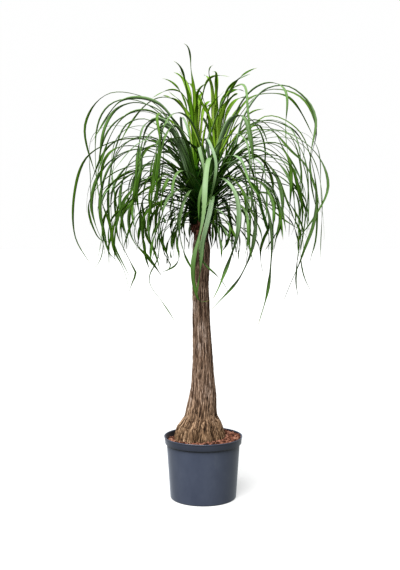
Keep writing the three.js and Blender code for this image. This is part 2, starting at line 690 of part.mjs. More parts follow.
const palm = new THREE.Group();
palm.add(meshOf(makePot(), "pot", finishes.pot));
palm.add(meshOf(makeSoil(socket), "soil", finishes.soil));
palm.add(meshOf(makeChipBed(socket), "lava_chips", finishes.chips));
palm.add(meshOf(makeTrunk(), "trunk", finishes.bark));
palm.add(meshOf(crown, "crown_leaves", finishes.leaf));
HEADS.forEach((head, i) => {
  const leaves = makeYoungLeaves(head, YOUNG_SEEDS[i]);
  palm.add(meshOf(leaves, `young_leaves_${head.name}`, finishes.young));
});

export default palm;
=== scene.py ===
"""Potted ponytail palm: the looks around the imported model.

Sizes are in millimetres, as in the part, and turned into metres when a mesh is made. The leaves follow the
part's own rule and seeds, so each fine blade lies where its solid is.
"""

import math

import bmesh
import bpy
import numpy as np
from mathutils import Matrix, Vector


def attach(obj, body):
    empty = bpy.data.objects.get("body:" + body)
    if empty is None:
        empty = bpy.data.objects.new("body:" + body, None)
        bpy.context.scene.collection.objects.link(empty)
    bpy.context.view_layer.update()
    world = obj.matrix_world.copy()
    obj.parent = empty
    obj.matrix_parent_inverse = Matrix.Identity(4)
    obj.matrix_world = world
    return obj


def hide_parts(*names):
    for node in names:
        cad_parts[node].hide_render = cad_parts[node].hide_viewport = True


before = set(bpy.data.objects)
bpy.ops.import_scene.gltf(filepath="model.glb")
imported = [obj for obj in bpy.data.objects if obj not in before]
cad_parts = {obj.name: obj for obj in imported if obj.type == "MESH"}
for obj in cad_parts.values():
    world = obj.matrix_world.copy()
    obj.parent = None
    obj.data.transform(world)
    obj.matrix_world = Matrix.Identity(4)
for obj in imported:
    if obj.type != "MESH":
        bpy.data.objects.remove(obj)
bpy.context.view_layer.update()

MM = 0.001
GOLDEN = 0.6180339887498949  # share of a turn from one leaf, chip or sliver to the next

# ---- Camera and light ----
CAMERA_PLACE = (-13, -3600, 1114)
CAMERA_TARGET = (-13, 0, 854)
CAMERA_LENS = 57.6
CAMERA_SENSOR = 36  # along the picture's long side
CAMERA_CLIP_END = 200  # metres
BACKDROP_LIGHT = 1.04
ROOM_LIGHT = 0.55
ROOM_TINT = (0.96, 1.0, 0.97, 1.0)
KEY_LIGHT = {"direction": (-0.3, -0.7, 1.0), "softness": 40, "power": 11}
FLOOR_TONES = (0.17, 0.18)
FLOOR_GLOW = 0.5
FLOOR_RADIUS = 30000
FLOOR_SIDES = 96

# ---- Pot ----
POT_SIDES = 200
POT_SHOULDER_RADIUS = 146
POT_OUTSIDE = [  # radius, height
    (0, 0), (128, 0), (132, 4), (145.7, 215), (146, 220), (152.5, 221.6), (154.4, 245), (156.5, 246.5),
    (156.5, 250), (153.5, 250),
]
POT_INSIDE = [(152.56, 246.16), (150.16, 225.76), (143.6, 222.4), (129.6, 5), (125.6, 3)]  # from the rim
POT_FLOOR = 3
POT_ROUNDING = 1.6
CORNER_SHARE = 0.45  # the most of a side that a rounding takes
CORNER_STEPS = 4
# How dark the painted shade on the pot is (0 to 1) and where: under the collar, on it and inside.
SHADE_UNDER_COLLAR = {"depth": 0.75, "z": 221, "spread": 3.5}
SHADE_ON_COLLAR = {"depth": 0.35, "low": (220, 223), "high": (248, 246)}  # fades in, fades out
SHADE_INSIDE = {"within": 152.5, "above": 222}
DRAIN_HOLES = 6
DRAIN_HOLE = [(0, -6), (7, -6), (7, 12), (0, 12)]  # radius, height
DRAIN_CIRCLE = 104
DRAIN_SIDES = 24

# ---- Chip bed ----
CHIP_BED_SIDES = 120
CHIP_BED_TOP = 238
CHIP_BED_SAG = 5
CHIP_BED_TILT = (0.038, -0.02)
CHIP_BED_BOTTOM = 214.3
# A height at which the pot's inside is measured, the gap to it and the height of the bed's edge there.
CHIP_BED_WALL = [(CHIP_BED_BOTTOM, 0.5, CHIP_BED_BOTTOM), (220, 0.5, 222), (234, 1.5, 228)]
CHIP_BED_RINGS = (148, 138, 128, 118)
CHIP_BED_COVER = 3  # chips above the bed
# Painted shade: the bed under the chips is nearly black, so that the gaps between them read as shade.
CHIP_GAP_SHADE_TONE = 0.05
TRUNK_OVERLAP = 2
BED_TRUNK_Z = 234  # the trunk's width at this height is the bed's hole
CHIP_TRUNK_Z = 240
CHIP_HEAP = {"base": 233, "rise": 9, "to_right": 0.04, "to_back": -0.02}  # higher at the right and front
CHIP_HOLLOW = {"depth": 9, "bed": 0.7, "x": (-55, -95), "y": (-45, 15)}  # sunk at the left, behind the trunk
CHIP_SEED = 12
CHIP_COUNT = 1500
CHIP_SIZE = (4.4, 9.4)  # radius of a chip
CHIP_SMALLNESS = 1.4  # above 1, more small chips than large ones
CHIP_INNERMOST = 86
CHIP_REACH_Z = 242  # the pot's width at this height limits them
CHIP_WALL_GAP = 0.9  # share of a chip's radius
CHIP_TRUNK_GAP = 0.3
CHIP_JITTER = 0.3
CHIP_ROUGHNESS = 0.55
CHIP_DEPTH = (0.7, 0.95)  # shares of its size
CHIP_HEIGHT = (0.5, 0.8)
CHIP_TONE = (0.15, 1)

# ---- Trunk: height, radius and sideways shift of its centre line ----
TRUNK_ROWS = [
    (150, 26, -12), (166, 56, -12), (190, 84, -12), (214, 97, -12), (238, 104, -13), (262, 99, -13),
    (286, 92, -13), (306, 81, -10), (330, 66, -9), (354, 61, -8), (400, 55, -3), (448, 49, 0),
    (496, 45, -1), (560, 40, -2), (637, 37, -5), (715, 35, -8), (790, 34, -9), (860, 33, -11),
    (930, 34, -9), (1000, 34, -8), (1062, 32, -9), (1072, 38, -10), (1094.7, 37, -10),
]
TRUNK_TOP = TRUNK_ROWS[-1][0]
BURIED_ROWS = 4
BARK_START = 222
BARK_FADE = (214, 226)  # heights over which the relief sets in
BARK_SECTORS = 440
BARK_ROWS = 218
FOOT_FORM = (370, 270)  # heights where the foot's form begins and is full
FOOT_COLOUR = (430, 260)
NECK = (1030, 1080)
RIDGES = {"count": 10, "waver": 1.6, "waver_length": 75, "slant_length": 170}
# Depths on the slim trunk and on its foot.
RIDGE_DEPTH = (1.2, 3.4)
FISSURE_DEPTH = (3.6, 6.5)
STRAND_DEPTH = (1.2, 3.6)
BARK_SWELL = 1.2
SCAR_DEPTH = 3.0
# Number round the trunk, length, sharpness, seed.
WIDE_GROOVES = (22, 95, 3.0, 11)
MID_GROOVES = (46, 60, 2.2, 12)
NARROW_GROOVES = (92, 42, 1.6, 13)
GROOVE_WANDER = 1.5
GROOVE_SHIVER = {"amount": 0.45, "length": 0.23}
GROOVE_DEPTH = {"least": 0.25, "length": 0.7}
MID_DEPTH = 0.8
NARROW_DEPTH = 0.35
WIDE_LOSS_AT_FOOT = 0.35
RELIEF = {"plate": 0.85, "strands": 0.45, "flakes": 0.25}
# Length, number round the trunk, seed.
FLAKES = (8, 64, 22)
STRANDS = (38, 120, 23)
SCARS = (7, 26, 24)
# Slivers of bark and old leaf bases.
SLIVER_SECTION = [(-1, 0), (0, 1), (1, 0), (0, -1)]  # place across, side
FIBRE_SEED = 41
FIBRE_COUNT = 900
FIBRE_STEPS = 5
FOOT_FIBRES = {"share": 0.72, "start": (236, 345), "lift": (0.2, 3.0)}
TRUNK_FIBRES = {"start": (345, 1050), "lift": (0.2, 1.6)}
FIBRE_LENGTH = (14, 46)
FIBRE_WIDTH = (0.9, 2.4)
FIBRE_HALF_DEPTH = 0.9
FIBRE_LEAN = 0.25
FIBRE_SUNK = 2.2
FIBRE_TONE = (0.45, 1)
FIBRE_TAPER = 2.5
FIBRE_END = 0.15
SCALE_SEED = 31
SCALE_COUNT = 90
SCALE_HEIGHTS = (1052, 1100)
SCALE_LENGTH = (12, 30)
SCALE_WIDTH = (9, 17)
SCALE_LIFT = (4, 13)
SCALE_HALF_DEPTH = 0.7
SCALE_STEPS = (0, 0.35, 0.7, 1)
SCALE_TAPER = 0.6
SCALE_END = 0.3
SCALE_CURL = 1.5
SCALES_UP = 0.75  # share that points up
SCALE_TONE = (0.35, 0.85)

# ---- Crown ----
HEADS = [
    {"name": "left", "foot": (-18, 0, 1095), "tip": (-28, 6, 1300), "away": 180, "seed": 58999, "young": 7},
    {"name": "right", "foot": (-2, 0, 1095), "tip": (46, -8, 1290), "away": 0, "seed": 92790, "young": 11},
]
CORE_SHARES = (0, 0.25, 0.6, 0.9, 1)
CORE_RADII = (36, 38, 31, 20, 14)
CORE_SIDES = 24
CORE_RINGS = 24
CORE_RIBS = {"count": 7, "depth": 0.05, "slant": 30}
ROOT_DEPTH = 6
TIERS = [
    {
        "count": 13, "height": (0.03, 0.26), "rise": (-12, 30), "length": (150, 320), "width": (8, 11),
        "bend_at": (0.35, 0.6), "bend_span": (0.45, 0.7), "hang": (-115, -65), "drift": 30, "twist": 40,
        "blunt": 0.5,
    },
    {
        "count": 20, "height": (0.14, 0.7), "rise": (12, 60), "length": (330, 620), "width": (9, 13),
        "bend_at": (0.38, 0.6), "bend_span": (0.35, 0.6), "hang": (-115, -62), "drift": 45, "twist": 90,
        "blunt": 0.1,
    },
    {
        "count": 15, "height": (0.36, 0.78), "rise": (36, 74), "length": (460, 760), "width": (9, 14),
        "bend_at": (0.38, 0.58), "bend_span": (0.25, 0.45), "hang": (-118, -65), "drift": 55, "twist": 120,
        "blunt": 0,
    },
    {
        "count": 10, "height": (0.7, 0.95), "rise": (58, 78), "length": (760, 1120), "width": (7, 12),
        "bend_at": (0.36, 0.54), "bend_span": (0.2, 0.35), "hang": (-122, -68), "drift": 55, "twist": 130,
        "blunt": 0,
    },
]
# A few thin leaves between those of the part.
FILL_SEEDS = {"left": 34575, "right": 40551}
FILL_TIERS = [{
    "count": 4, "height": (0.3, 0.95), "rise": (25, 74), "length": (560, 1050), "width": (3, 5),
    "bend_at": (0.36, 0.6), "bend_span": (0.25, 0.5), "hang": (-120, -50), "drift": 70, "twist": 120,
    "blunt": 0,
}]
# Short leaves that close the crown round its roots, their tone darkened as painted shade.
INNER_SEEDS = {"left": 5, "right": 8}
INNER_TIERS = [{
    "count": 26, "height": (0.05, 0.98), "rise": (-5, 78), "length": (150, 330), "width": (7, 11),
    "bend_at": (0.6, 0.95), "bend_span": (0.4, 0.8), "hang": (-60, 30), "drift": 40, "twist": 90,
    "blunt": 0,
}]
INNER_SHADE_TONE = 0.45
YOUNG = {
    "count": 12, "rise": (78, 89), "length": (320, 520), "width": (9, 14), "bend_at": (0.7, 0.95),
    "bend_span": (0.2, 0.3), "hang": (-30, 30), "drift": 20, "twist": 50, "blunt": 0,
}
YOUNG_WIDEN = 1.35
YOUNG_BUD = [(0, 0), (13, 0), (10.4, 17), (7, 34), (0, 34)]  # radius, height
BUD_SIDES = 20
BUD_GAP = 0.3
BUD_TONE = 0.2
YOUNG_ROOT_RADIUS = 5
YOUNG_ROOT_Z = 10
PATH_STEPS = 40
BEND_SHARPNESS = 2.2
SWAY = {"degrees": 14, "waves": 1.3}
DRIFT_GAIN = 1.6
OPEN_ARC = 250  # arc over which the upper leaves of a head spread
AZIMUTH_JITTER = 8
FRONT_TRIM = {"most": 0.42, "power": 6}  # leaves towards the camera are shorter
FRONT_TURN = (30, 40)  # degrees that they are turned aside, and over how wide an arc
CROWN_AXIS_X = -10
CROWN_REACH = 500
REACH_POWER = 6
HANGING_BELOW = 1100
TRUNK_CLEARANCE = 14
BLADE_THICKNESS = 0.7
# Section of a blade: place across it from -1 to 1, and side, 1 on top and -1 below.
BLADE_SECTION = [(-1, 0), (-0.55, 1), (0, 1), (0.55, 1), (1, 0), (0.55, -1), (0, -1), (-0.55, -1)]
TWIST_RUN = (0.3, 0.9)  # shares of a leaf's length over which it twists
LEAF_SWING = {"degrees": 65, "waves": 2.3, "run": (0.35, 0.85)}  # the blade rocks from side to side
LEAF_RIPPLE = 0.013  # share of the leaf's length
FILL_RIPPLE = 0.018
RIPPLE_WAVES = {"sideways": 2.4, "upright": 1.7, "shift": 2.3, "flatness": 0.6, "growth": 1.4}
PHASE_PER_TONE = 7.3
BLUNT_END = 0.97  # a blunt leaf stops short of the dry tip
# Painted sheen: broad laid leaves take pale tones.
BROAD = 13  # a laid leaf wider than this is one of the pale ones
SHEEN_PALE_TONES = (0.6, 0.88)
LATE = "late"  # a leaf that is broadest where it hangs
# Widths as shares of the full one, at the root and at the tip, and places along the leaf.
LEAF_SHAPE = {
    "root": 0.72, "full_at": 0.35, "taper": (0.5, 1), "taper_power": 2.6, "fullness": 0.9, "tip": 0.03,
    "blunt_tip": 0.6,
}
LATE_SHAPE = {"root": 0.6, "swell": (0.45, 0.65), "taper": (0.78, 1), "taper_power": 2, "tip": 0.12}
GUTTER = (0.5, 0.25)  # depth of the channel at root and tip, as a share of the half width
EDGE_THINNING = 0.5
RISE_ORDER = 0.75  # how much of a leaf's rise follows its place in the tier; the rest is drawn
LENGTH_ORDER = 0.45
CURVE_DETAIL = 8
# Tone from dark to pale, the pale end partly a painted sheen, and colour of the last bit of a leaf.
LEAF_COLOURS = {
    "deep": (0.004, 0.019, 0.0003), "mid": (0.053, 0.099, 0.013), "pale": (0.185, 0.245, 0.17),
    "tip": (0.12, 0.1, 0.03),
}
YOUNG_COLOURS = {
    "deep": (0.036, 0.092, 0.004), "mid": (0.12, 0.2, 0.018), "pale": (0.25, 0.33, 0.09),
    "tip": (0.14, 0.18, 0.05),
}
# In each table below, a leaf is a list of its own values and then the points that it runs through.
# Long leaves laid one by one: share of the head's height, width, twist.
LAID_LEAVES = {
    "left": [
        [(0.66, 11, 100), (-105, -20, 1350), (-215, -30, 1420), (-355, -40, 1410), (-455, -40, 1350),
         (-505, -35, 1210), (-500, -30, 1050), (-435, -20, 940)],
        [(0.7, 17, 60), (-80, -70, 1395), (-165, -130, 1490), (-220, -170, 1465), (-245, -190, 1350),
         (-245, -190, 1210)],
        [(0.62, 18, 70), (-75, -90, 1360), (-140, -150, 1460), (-205, -200, 1415), (-240, -215, 1280),
         (-260, -205, 1050)],
        [(0.74, 16, 50), (-60, -80, 1395), (-110, -140, 1465), (-150, -185, 1385), (-170, -200, 1245),
         (-205, -200, 1020)],
        [(0.42, 18, 60), (-65, -110, 1230), (-125, -180, 1200), (-170, -220, 1090), (-200, -210, 920)],
        [(0.5, 15, 50), (-70, -100, 1260), (-135, -165, 1240), (-190, -200, 1165), (-200, -200, 1035),
         (-165, -190, 925)],
        [(0.56, 9, 90), (-105, -60, 1240), (-165, -90, 1150), (-175, -85, 970), (-205, -80, 880),
         (-160, -80, 795), (-115, -70, 705)],
        [(0.46, 15, 40), (-50, -100, 1225), (-80, -145, 1155), (-90, -150, 1035), (-25, -130, 900)],
        [(0.8, 14, 30), (0, -60, 1340), (-15, -100, 1390), (0, -140, 1290), (-25, -140, 1090)],
        [(0.78, 11, 90), (-62, 14, 1340), (-110, 22, 1470), (-215, 20, 1585), (-370, 5, 1600),
         (-460, 0, 1480), (-420, 10, 1250)],
        [(0.82, 13, 60), (-56, -24, 1340), (-90, -55, 1455), (-180, -85, 1555), (-315, -110, 1560),
         (-425, -100, 1405)],
        [(0.6, 16, 60), (-130, -40, 1385), (-205, -60, 1430), (-290, -80, 1410), (-350, -95, 1320),
         (-385, -100, 1225), (-395, -100, 1130), (-380, -95, 1040), (-365, -90, 940)],
        [(0.5, 15, 50), (-150, 30, 1350), (-255, 60, 1390), (-355, 85, 1360), (-430, 100, 1275),
         (-455, 105, 1170), (-435, 100, 1085), (-400, 95, 1015), (-390, 90, 965)],
        [(0.66, 12, 70), (-140, 30, 1435), (-220, 60, 1510), (-305, 80, 1495), (-355, 95, 1395),
         (-375, 100, 1275), (-375, 100, 1130), (-365, 95, 1010), (-340, 90, 940), (-295, 80, 850)],
        [(0.56, 14, 60), (-120, -80, 1360), (-195, -110, 1390), (-265, -125, 1350), (-300, -130, 1265),
         (-315, -130, 1170), (-305, -125, 1075), (-290, -120, 1025), (-305, -118, 990)],
        [(0.4, 10, 60), (-130, 20, 1300), (-205, 30, 1310), (-260, 40, 1250), (-290, 45, 1170),
         (-295, 45, 1090), (-275, 45, 1025), (-230, 40, 965), (-170, 35, 890)],
        [(0.46, 13, 40), (-105, -100, 1310), (-165, -130, 1320), (-215, -145, 1260), (-230, -150, 1175),
         (-220, -150, 1105), (-230, -150, 1025)],
        [(0.7, 8, 60), (-100, 25, 1355), (-140, 40, 1470), (-190, 50, 1525), (-255, 60, 1540),
         (-325, 70, 1520), (-380, 75, 1470), (-410, 75, 1395), (-420, 75, 1290), (-430, 75, 1170)],
        [(0.75, 9, 50), (-90, -20, 1345), (-150, -40, 1400), (-215, -55, 1425), (-285, -65, 1430),
         (-350, -70, 1405), (-390, -75, 1360), (-420, -75, 1285), (-440, -75, 1220), (-445, -75, 1140)],
        [(0.7, 11, 70), (-95, 40, 1330), (-160, 80, 1380), (-235, 100, 1400), (-305, 115, 1385),
         (-360, 120, 1345), (-390, 120, 1300), (-415, 120, 1240), (-435, 120, 1160)],
        [(0.55, 7, 60), (-100, 30, 1260), (-175, 60, 1320), (-235, 80, 1315), (-290, 95, 1295),
         (-340, 105, 1260), (-385, 110, 1210), (-410, 110, 1145)],
        [(0.8, 18, 30), (-65, -50, 1365), (-120, -90, 1455), (-165, -120, 1490), (-205, -140, 1465),
         (-230, -150, 1385), (-245, -155, 1280), (-255, -155, 1215), (-280, -150, 1140)],
        [(0.65, 11, 40), (-70, -40, 1315), (-115, -80, 1390), (-145, -105, 1430), (-175, -130, 1375),
         (-195, -140, 1300), (-200, -145, 1225), (-200, -145, 1155)],
        [(0.6, 15, 30), (-60, -60, 1295), (-90, -100, 1380), (-125, -130, 1415), (-155, -155, 1370),
         (-165, -165, 1290), (-180, -170, 1225), (-205, -170, 1140)],
    ],
    "right": [
        [(0.6, 22, 20), (35, -90, 1340), (20, -150, 1335), (0, -225, 1155), (-30, -220, 955),
         (-15, -195, 800), (30, -190, 800)],
        [(0.4, 19, 25), (35, -110, 1200), (15, -160, 1105), (-15, -155, 930), (-20, -140, 805)],
        [(0.72, 13, 60), (20, -60, 1370), (15, -100, 1420), (45, -130, 1320), (30, -130, 1195),
         (-40, -125, 1115)],
        [(0.74, 20, 40), (60, -80, 1395), (105, -135, 1490), (145, -180, 1495), (180, -200, 1360),
         (210, -195, 1170)],
        [(0.52, 19, 30), (65, -120, 1270), (115, -200, 1215), (125, -205, 1045), (65, -190, 885),
         (35, -180, 810)],
        [(0.58, 15, 60), (95, -70, 1280), (165, -115, 1240), (195, -130, 1090), (150, -120, 910),
         (30, -100, 760)],
        [(0.5, 17, 80), (110, -40, 1260), (200, -75, 1240), (255, -90, 1090), (255, -90, 860),
         (210, -80, 705)],
        [(0.62, 18, 50), (110, -30, 1330), (210, -60, 1355), (285, -90, 1265), (295, -90, 1105),
         (240, -80, 990)],
        [(0.66, 12, 90), (130, 20, 1385), (280, 20, 1465), (425, 5, 1390), (485, 0, 1250), (445, 5, 1130),
         (370, 10, 1010)],
        [(0.7, 12, 70), (86, -4, 1330), (130, 0, 1500), (245, -5, 1615), (375, -15, 1585), (435, -20, 1465),
         (420, -15, 1325), (455, -10, 1125)],
        [(0.74, 12, 80), (80, 14, 1330), (108, 26, 1460), (190, 40, 1595), (330, 50, 1600),
         (435, 45, 1435)],
        [(0.64, 14, 90), (135, -60, 1370), (290, -95, 1400), (415, -95, 1270), (435, -95, 1170),
         (425, -92, 1080), (395, -88, 1005), (365, -84, 935), (330, -80, 865), (300, -76, 790)],
        [(0.5, 13, 40), (85, -60, 1325), (140, -90, 1305), (185, -110, 1225), (200, -115, 1135),
         (195, -115, 1055), (180, -112, 960), (125, -105, 875)],
        [(0.45, 15, 50), (70, -70, 1225), (130, -110, 1265), (185, -130, 1265), (235, -145, 1240),
         (270, -150, 1195), (290, -150, 1135), (280, -148, 1065), (265, -145, 990)],
        [(0.58, 10, 80), (105, 40, 1360), (210, 70, 1330), (300, 85, 1240), (365, 90, 1150),
         (400, 90, 1070), (390, 88, 1005), (380, 85, 950)],
        [(0.55, 11, 60), (75, 40, 1270), (140, 70, 1320), (215, 90, 1325), (285, 105, 1315),
         (345, 115, 1275), (395, 120, 1205), (425, 120, 1125), (430, 118, 1055)],
        [(0.56, 11, 60), (95, -25, 1320), (130, -30, 1430), (175, -35, 1490), (225, -40, 1490),
         (285, -50, 1440), (340, -60, 1380), (395, -65, 1320), (425, -65, 1245), (445, -65, 1170)],
        [(0.6, 9, 70), (90, 50, 1335), (145, 60, 1445), (200, 68, 1495), (260, 75, 1510), (320, 85, 1495),
         (370, 90, 1460), (400, 90, 1400), (395, 90, 1340)],
        [(0.6, 13, 40), (70, -60, 1285), (135, -90, 1340), (195, -110, 1375), (240, -125, 1360),
         (285, -135, 1320), (320, -140, 1275), (340, -140, 1215), (350, -138, 1140)],
        [(0.8, 9, 70), (85, 60, 1390), (150, 90, 1450), (225, 110, 1475), (285, 120, 1465),
         (325, 130, 1390), (380, 135, 1310), (410, 135, 1245), (415, 132, 1160)],
        [(0.5, 14, 60), (110, -60, 1350), (160, -60, 1515), (235, -55, 1610), (320, -45, 1625),
         (395, -35, 1570), (430, -35, 1495), (425, -35, 1390), (425, -35, 1315), (445, -35, 1220),
         (450, -35, 1140)],
    ],
}
# Finer leaves between them, broadest where they hang: share of the head's height, width, twist, tone.
FINE_LEAVES = {
    "left": [
        [(0.5, 12, 50, 0.4), (-100, 20, 1310), (-195, 50, 1330), (-305, 80, 1305), (-385, 92, 1230),
         (-415, 95, 1150), (-410, 95, 1080), (-400, 94, 1025), (-385, 92, 980), (-385, 90, 930)],
        [(0.45, 9, 50, 0.3), (-105, -60, 1295), (-205, -90, 1320), (-325, -108, 1295), (-415, -115, 1225),
         (-440, -116, 1170), (-435, -116, 1120), (-420, -115, 1080), (-395, -114, 1040),
         (-360, -113, 1030)],
        [(0.4, 12, 60, 0.45), (-100, -20, 1270), (-190, -40, 1300), (-305, -50, 1275), (-385, -52, 1235),
         (-405, -52, 1205), (-385, -52, 1150), (-365, -52, 1105), (-355, -51, 1050), (-365, -50, 990),
         (-340, -48, 960)],
        [(0.35, 13, 40, 0.25), (-95, 60, 1255), (-180, 80, 1270), (-275, 95, 1240), (-325, 100, 1180),
         (-330, 100, 1125), (-320, 99, 1070), (-310, 98, 1025), (-315, 96, 995)],
        [(0.35, 10, 60, 0.5), (-90, -40, 1235), (-170, -60, 1250), (-255, -75, 1205), (-285, -78, 1135),
         (-285, -78, 1090), (-275, -76, 1050), (-255, -75, 1015)],
        [(0.4, 12, 70, 0.4), (-100, 90, 1280), (-215, 115, 1290), (-320, 125, 1225), (-350, 128, 1130),
         (-345, 126, 1050), (-320, 124, 990), (-305, 122, 955), (-290, 120, 920), (-280, 119, 895),
         (-295, 118, 860), (-310, 117, 820)],
        [(0.3, 9, 60, 0.5), (-90, -80, 1225), (-175, -105, 1240), (-275, -118, 1185), (-335, -122, 1105),
         (-350, -122, 1035), (-340, -121, 985), (-320, -120, 950), (-300, -119, 910), (-280, -118, 855)],
        [(0.3, 12, 30, 0.35), (-105, 120, 1250), (-220, 145, 1260), (-340, 155, 1210), (-410, 158, 1110),
         (-415, 157, 1030), (-420, 156, 970), (-430, 155, 940), (-445, 154, 915)],
        [(0.25, 12, 50, 0.3), (-75, -60, 1195), (-145, -85, 1205), (-220, -98, 1155), (-260, -102, 1090),
         (-265, -102, 1040), (-250, -101, 1005), (-220, -100, 975), (-190, -99, 940), (-160, -98, 900)],
        [(0.25, 12, 40, 0.45), (-75, 10, 1205), (-150, 20, 1215), (-220, 30, 1160), (-250, 32, 1085),
         (-235, 32, 1015), (-225, 31, 960), (-210, 30, 910)],
        [(0.2, 11, 40, 0.3), (-65, -100, 1180), (-120, -125, 1180), (-170, -135, 1135), (-180, -137, 1075),
         (-160, -136, 1025), (-145, -135, 995), (-125, -134, 960)],
        [(0.2, 11, 40, 0.35), (-70, 40, 1180), (-140, 65, 1190), (-215, 75, 1145), (-230, 78, 1060),
         (-205, 77, 1000), (-180, 76, 955), (-160, 75, 935)],
        [(0.15, 8, 60, 0.4), (-55, -40, 1155), (-105, -65, 1155), (-150, -76, 1105), (-160, -78, 1035),
         (-150, -77, 985), (-135, -76, 950), (-130, -75, 935), (-145, -74, 915)],
        [(0.3, 11, 50, 0.55), (-60, -130, 1200), (-85, -150, 1200), (-95, -155, 1165), (-100, -158, 1080),
         (-95, -157, 1015), (-90, -155, 975), (-105, -153, 945), (-155, -150, 920)],
        [(0.15, 13, 20, 0.15), (-40, -50, 1150), (-80, -80, 1140), (-110, -95, 1120), (-125, -100, 1080),
         (-120, -100, 1050), (-115, -100, 1035)],
        [(0.1, 9, 20, 0.2), (-60, -70, 1125), (-75, -85, 1095), (-70, -88, 1055), (-55, -86, 1020)],
        [(0.35, 15, 30, 0.6), (-75, -100, 1220), (-140, -130, 1225), (-210, -145, 1210), (-235, -148, 1165),
         (-230, -148, 1105), (-225, -147, 1035), (-230, -146, 1005)],
        [(0.8, 12, 40, 0.75), (-60, -20, 1300), (-90, -35, 1385), (-120, -50, 1460), (-155, -60, 1520),
         (-205, -65, 1550), (-265, -68, 1560), (-330, -70, 1530), (-375, -70, 1460), (-400, -70, 1380),
         (-410, -70, 1305)],
        [(0.6, 16, 30, 0.95), (-60, -60, 1275), (-80, -90, 1340), (-105, -110, 1410), (-120, -125, 1455),
         (-140, -135, 1470), (-155, -142, 1435), (-170, -148, 1370), (-180, -150, 1290)],
    ],
    "right": [
        [(0.4, 11, 50, 0.35), (80, -40, 1265), (140, -60, 1265), (210, -70, 1210), (245, -73, 1140),
         (250, -73, 1080), (235, -72, 1040), (225, -71, 1000), (225, -70, 965), (235, -69, 895)],
        [(0.4, 14, 30, 0.2), (85, 60, 1285), (175, 90, 1320), (255, 105, 1265), (300, 110, 1185),
         (310, 110, 1090), (300, 109, 1035), (290, 108, 980)],
        [(0.5, 11, 50, 0.3), (85, -80, 1305), (185, -105, 1355), (270, -118, 1295), (315, -122, 1185),
         (345, -122, 1125), (375, -121, 1060), (365, -120, 1030), (360, -119, 990), (355, -118, 960)],
        [(0.3, 7, 50, 0.5), (80, -60, 1225), (160, -80, 1225), (235, -88, 1175), (290, -90, 1130),
         (345, -91, 1090), (375, -90, 1070), (405, -89, 1030)],
        [(0.5, 11, 60, 0.4), (100, 30, 1335), (220, 50, 1425), (325, 60, 1360), (385, 65, 1230),
         (390, 64, 1070), (380, 62, 960), (380, 61, 900), (380, 60, 865), (390, 58, 800)],
        [(0.5, 8, 70, 0.4), (95, -30, 1345), (230, -45, 1470), (345, -52, 1405), (400, -55, 1265),
         (390, -54, 1110), (380, -52, 995), (390, -50, 930), (410, -49, 875), (435, -48, 830)],
        [(0.55, 12, 60, 0.45), (110, 90, 1360), (255, 120, 1525), (390, 135, 1470), (455, 140, 1315),
         (460, 138, 1130), (450, 136, 1010), (440, 135, 975), (435, 134, 940)],
        [(0.5, 11, 40, 0.5), (90, -50, 1320), (195, -75, 1390), (290, -86, 1350), (340, -90, 1265),
         (350, -90, 1155), (350, -89, 1105), (335, -88, 1055)],
        [(0.2, 11, 20, 0.2), (70, -70, 1170), (95, -90, 1140), (100, -95, 1090), (95, -95, 1040),
         (85, -94, 1005), (70, -92, 980)],
        [(0.15, 10, 20, 0.3), (50, -70, 1155), (40, -88, 1110), (35, -92, 1055), (30, -90, 1000)],
        [(0.12, 8, 20, 0.2), (55, -60, 1140), (60, -75, 1090), (60, -76, 1035)],
        [(0.1, 8, 20, 0.15), (40, -100, 1150), (50, -106, 1090), (50, -106, 1035)],
        [(0.2, 7, 40, 0.7), (0, -140, 1130), (-15, -150, 1055), (-15, -150, 995), (5, -148, 950),
         (35, -146, 915), (70, -144, 870), (95, -142, 835)],
        [(0.25, 10, 30, 0.4), (70, -60, 1195), (125, -95, 1175), (165, -110, 1135), (180, -115, 1085),
         (175, -115, 1035)],
        [(0.2, 10, 40, 0.3), (80, 20, 1190), (145, 40, 1170), (195, 50, 1120), (215, 50, 1045)],
        [(0.15, 11, 20, 0.2), (80, -100, 1170), (115, -120, 1135), (130, -125, 1080), (120, -124, 1025)],
        [(0.5, 8, 60, 0.3), (80, 20, 1340), (125, 40, 1420), (170, 55, 1465), (220, 65, 1490),
         (245, 72, 1455), (255, 75, 1410)],
        [(0.4, 14, 30, 0.25), (75, -50, 1250), (140, -80, 1275), (200, -95, 1265), (250, -102, 1225),
         (270, -104, 1170), (275, -104, 1105)],
    ],
}
# Young leaves that fan out of the buds: width, twist, tone.
FAN_LEAVES = {
    "left": [
        [(12, 40, 0.6), (-10, -30, 1385), (-30, -45, 1440), (-55, -55, 1505), (-90, -62, 1565),
         (-130, -66, 1605)],
        [(10, 30, 0.4), (-5, -30, 1385), (5, -45, 1455), (20, -55, 1525), (45, -62, 1570), (75, -66, 1605)],
        [(9, 50, 0.5), (-15, 10, 1380), (-55, 25, 1435), (-100, 35, 1480), (-150, 42, 1510),
         (-205, 46, 1515)],
    ],
    "right": [
        [(13, 30, 0.7), (55, -20, 1355), (70, -30, 1395), (90, -36, 1445), (110, -42, 1495),
         (140, -48, 1545), (180, -52, 1585)],
        [(11, 40, 0.5), (55, -30, 1355), (80, -45, 1395), (105, -55, 1440), (140, -62, 1485),
         (185, -68, 1520), (230, -70, 1535)],
        [(12, 30, 0.4), (50, -30, 1355), (45, -40, 1405), (35, -48, 1470), (15, -54, 1525),
         (-15, -58, 1580), (-50, -62, 1620)],
        [(10, 40, 0.8), (55, -35, 1355), (55, -50, 1415), (55, -60, 1480), (70, -68, 1545)],
        [(9, 50, 0.5), (60, 10, 1355), (100, 25, 1405), (140, 35, 1450), (190, 42, 1480), (240, 46, 1485)],
    ],
}


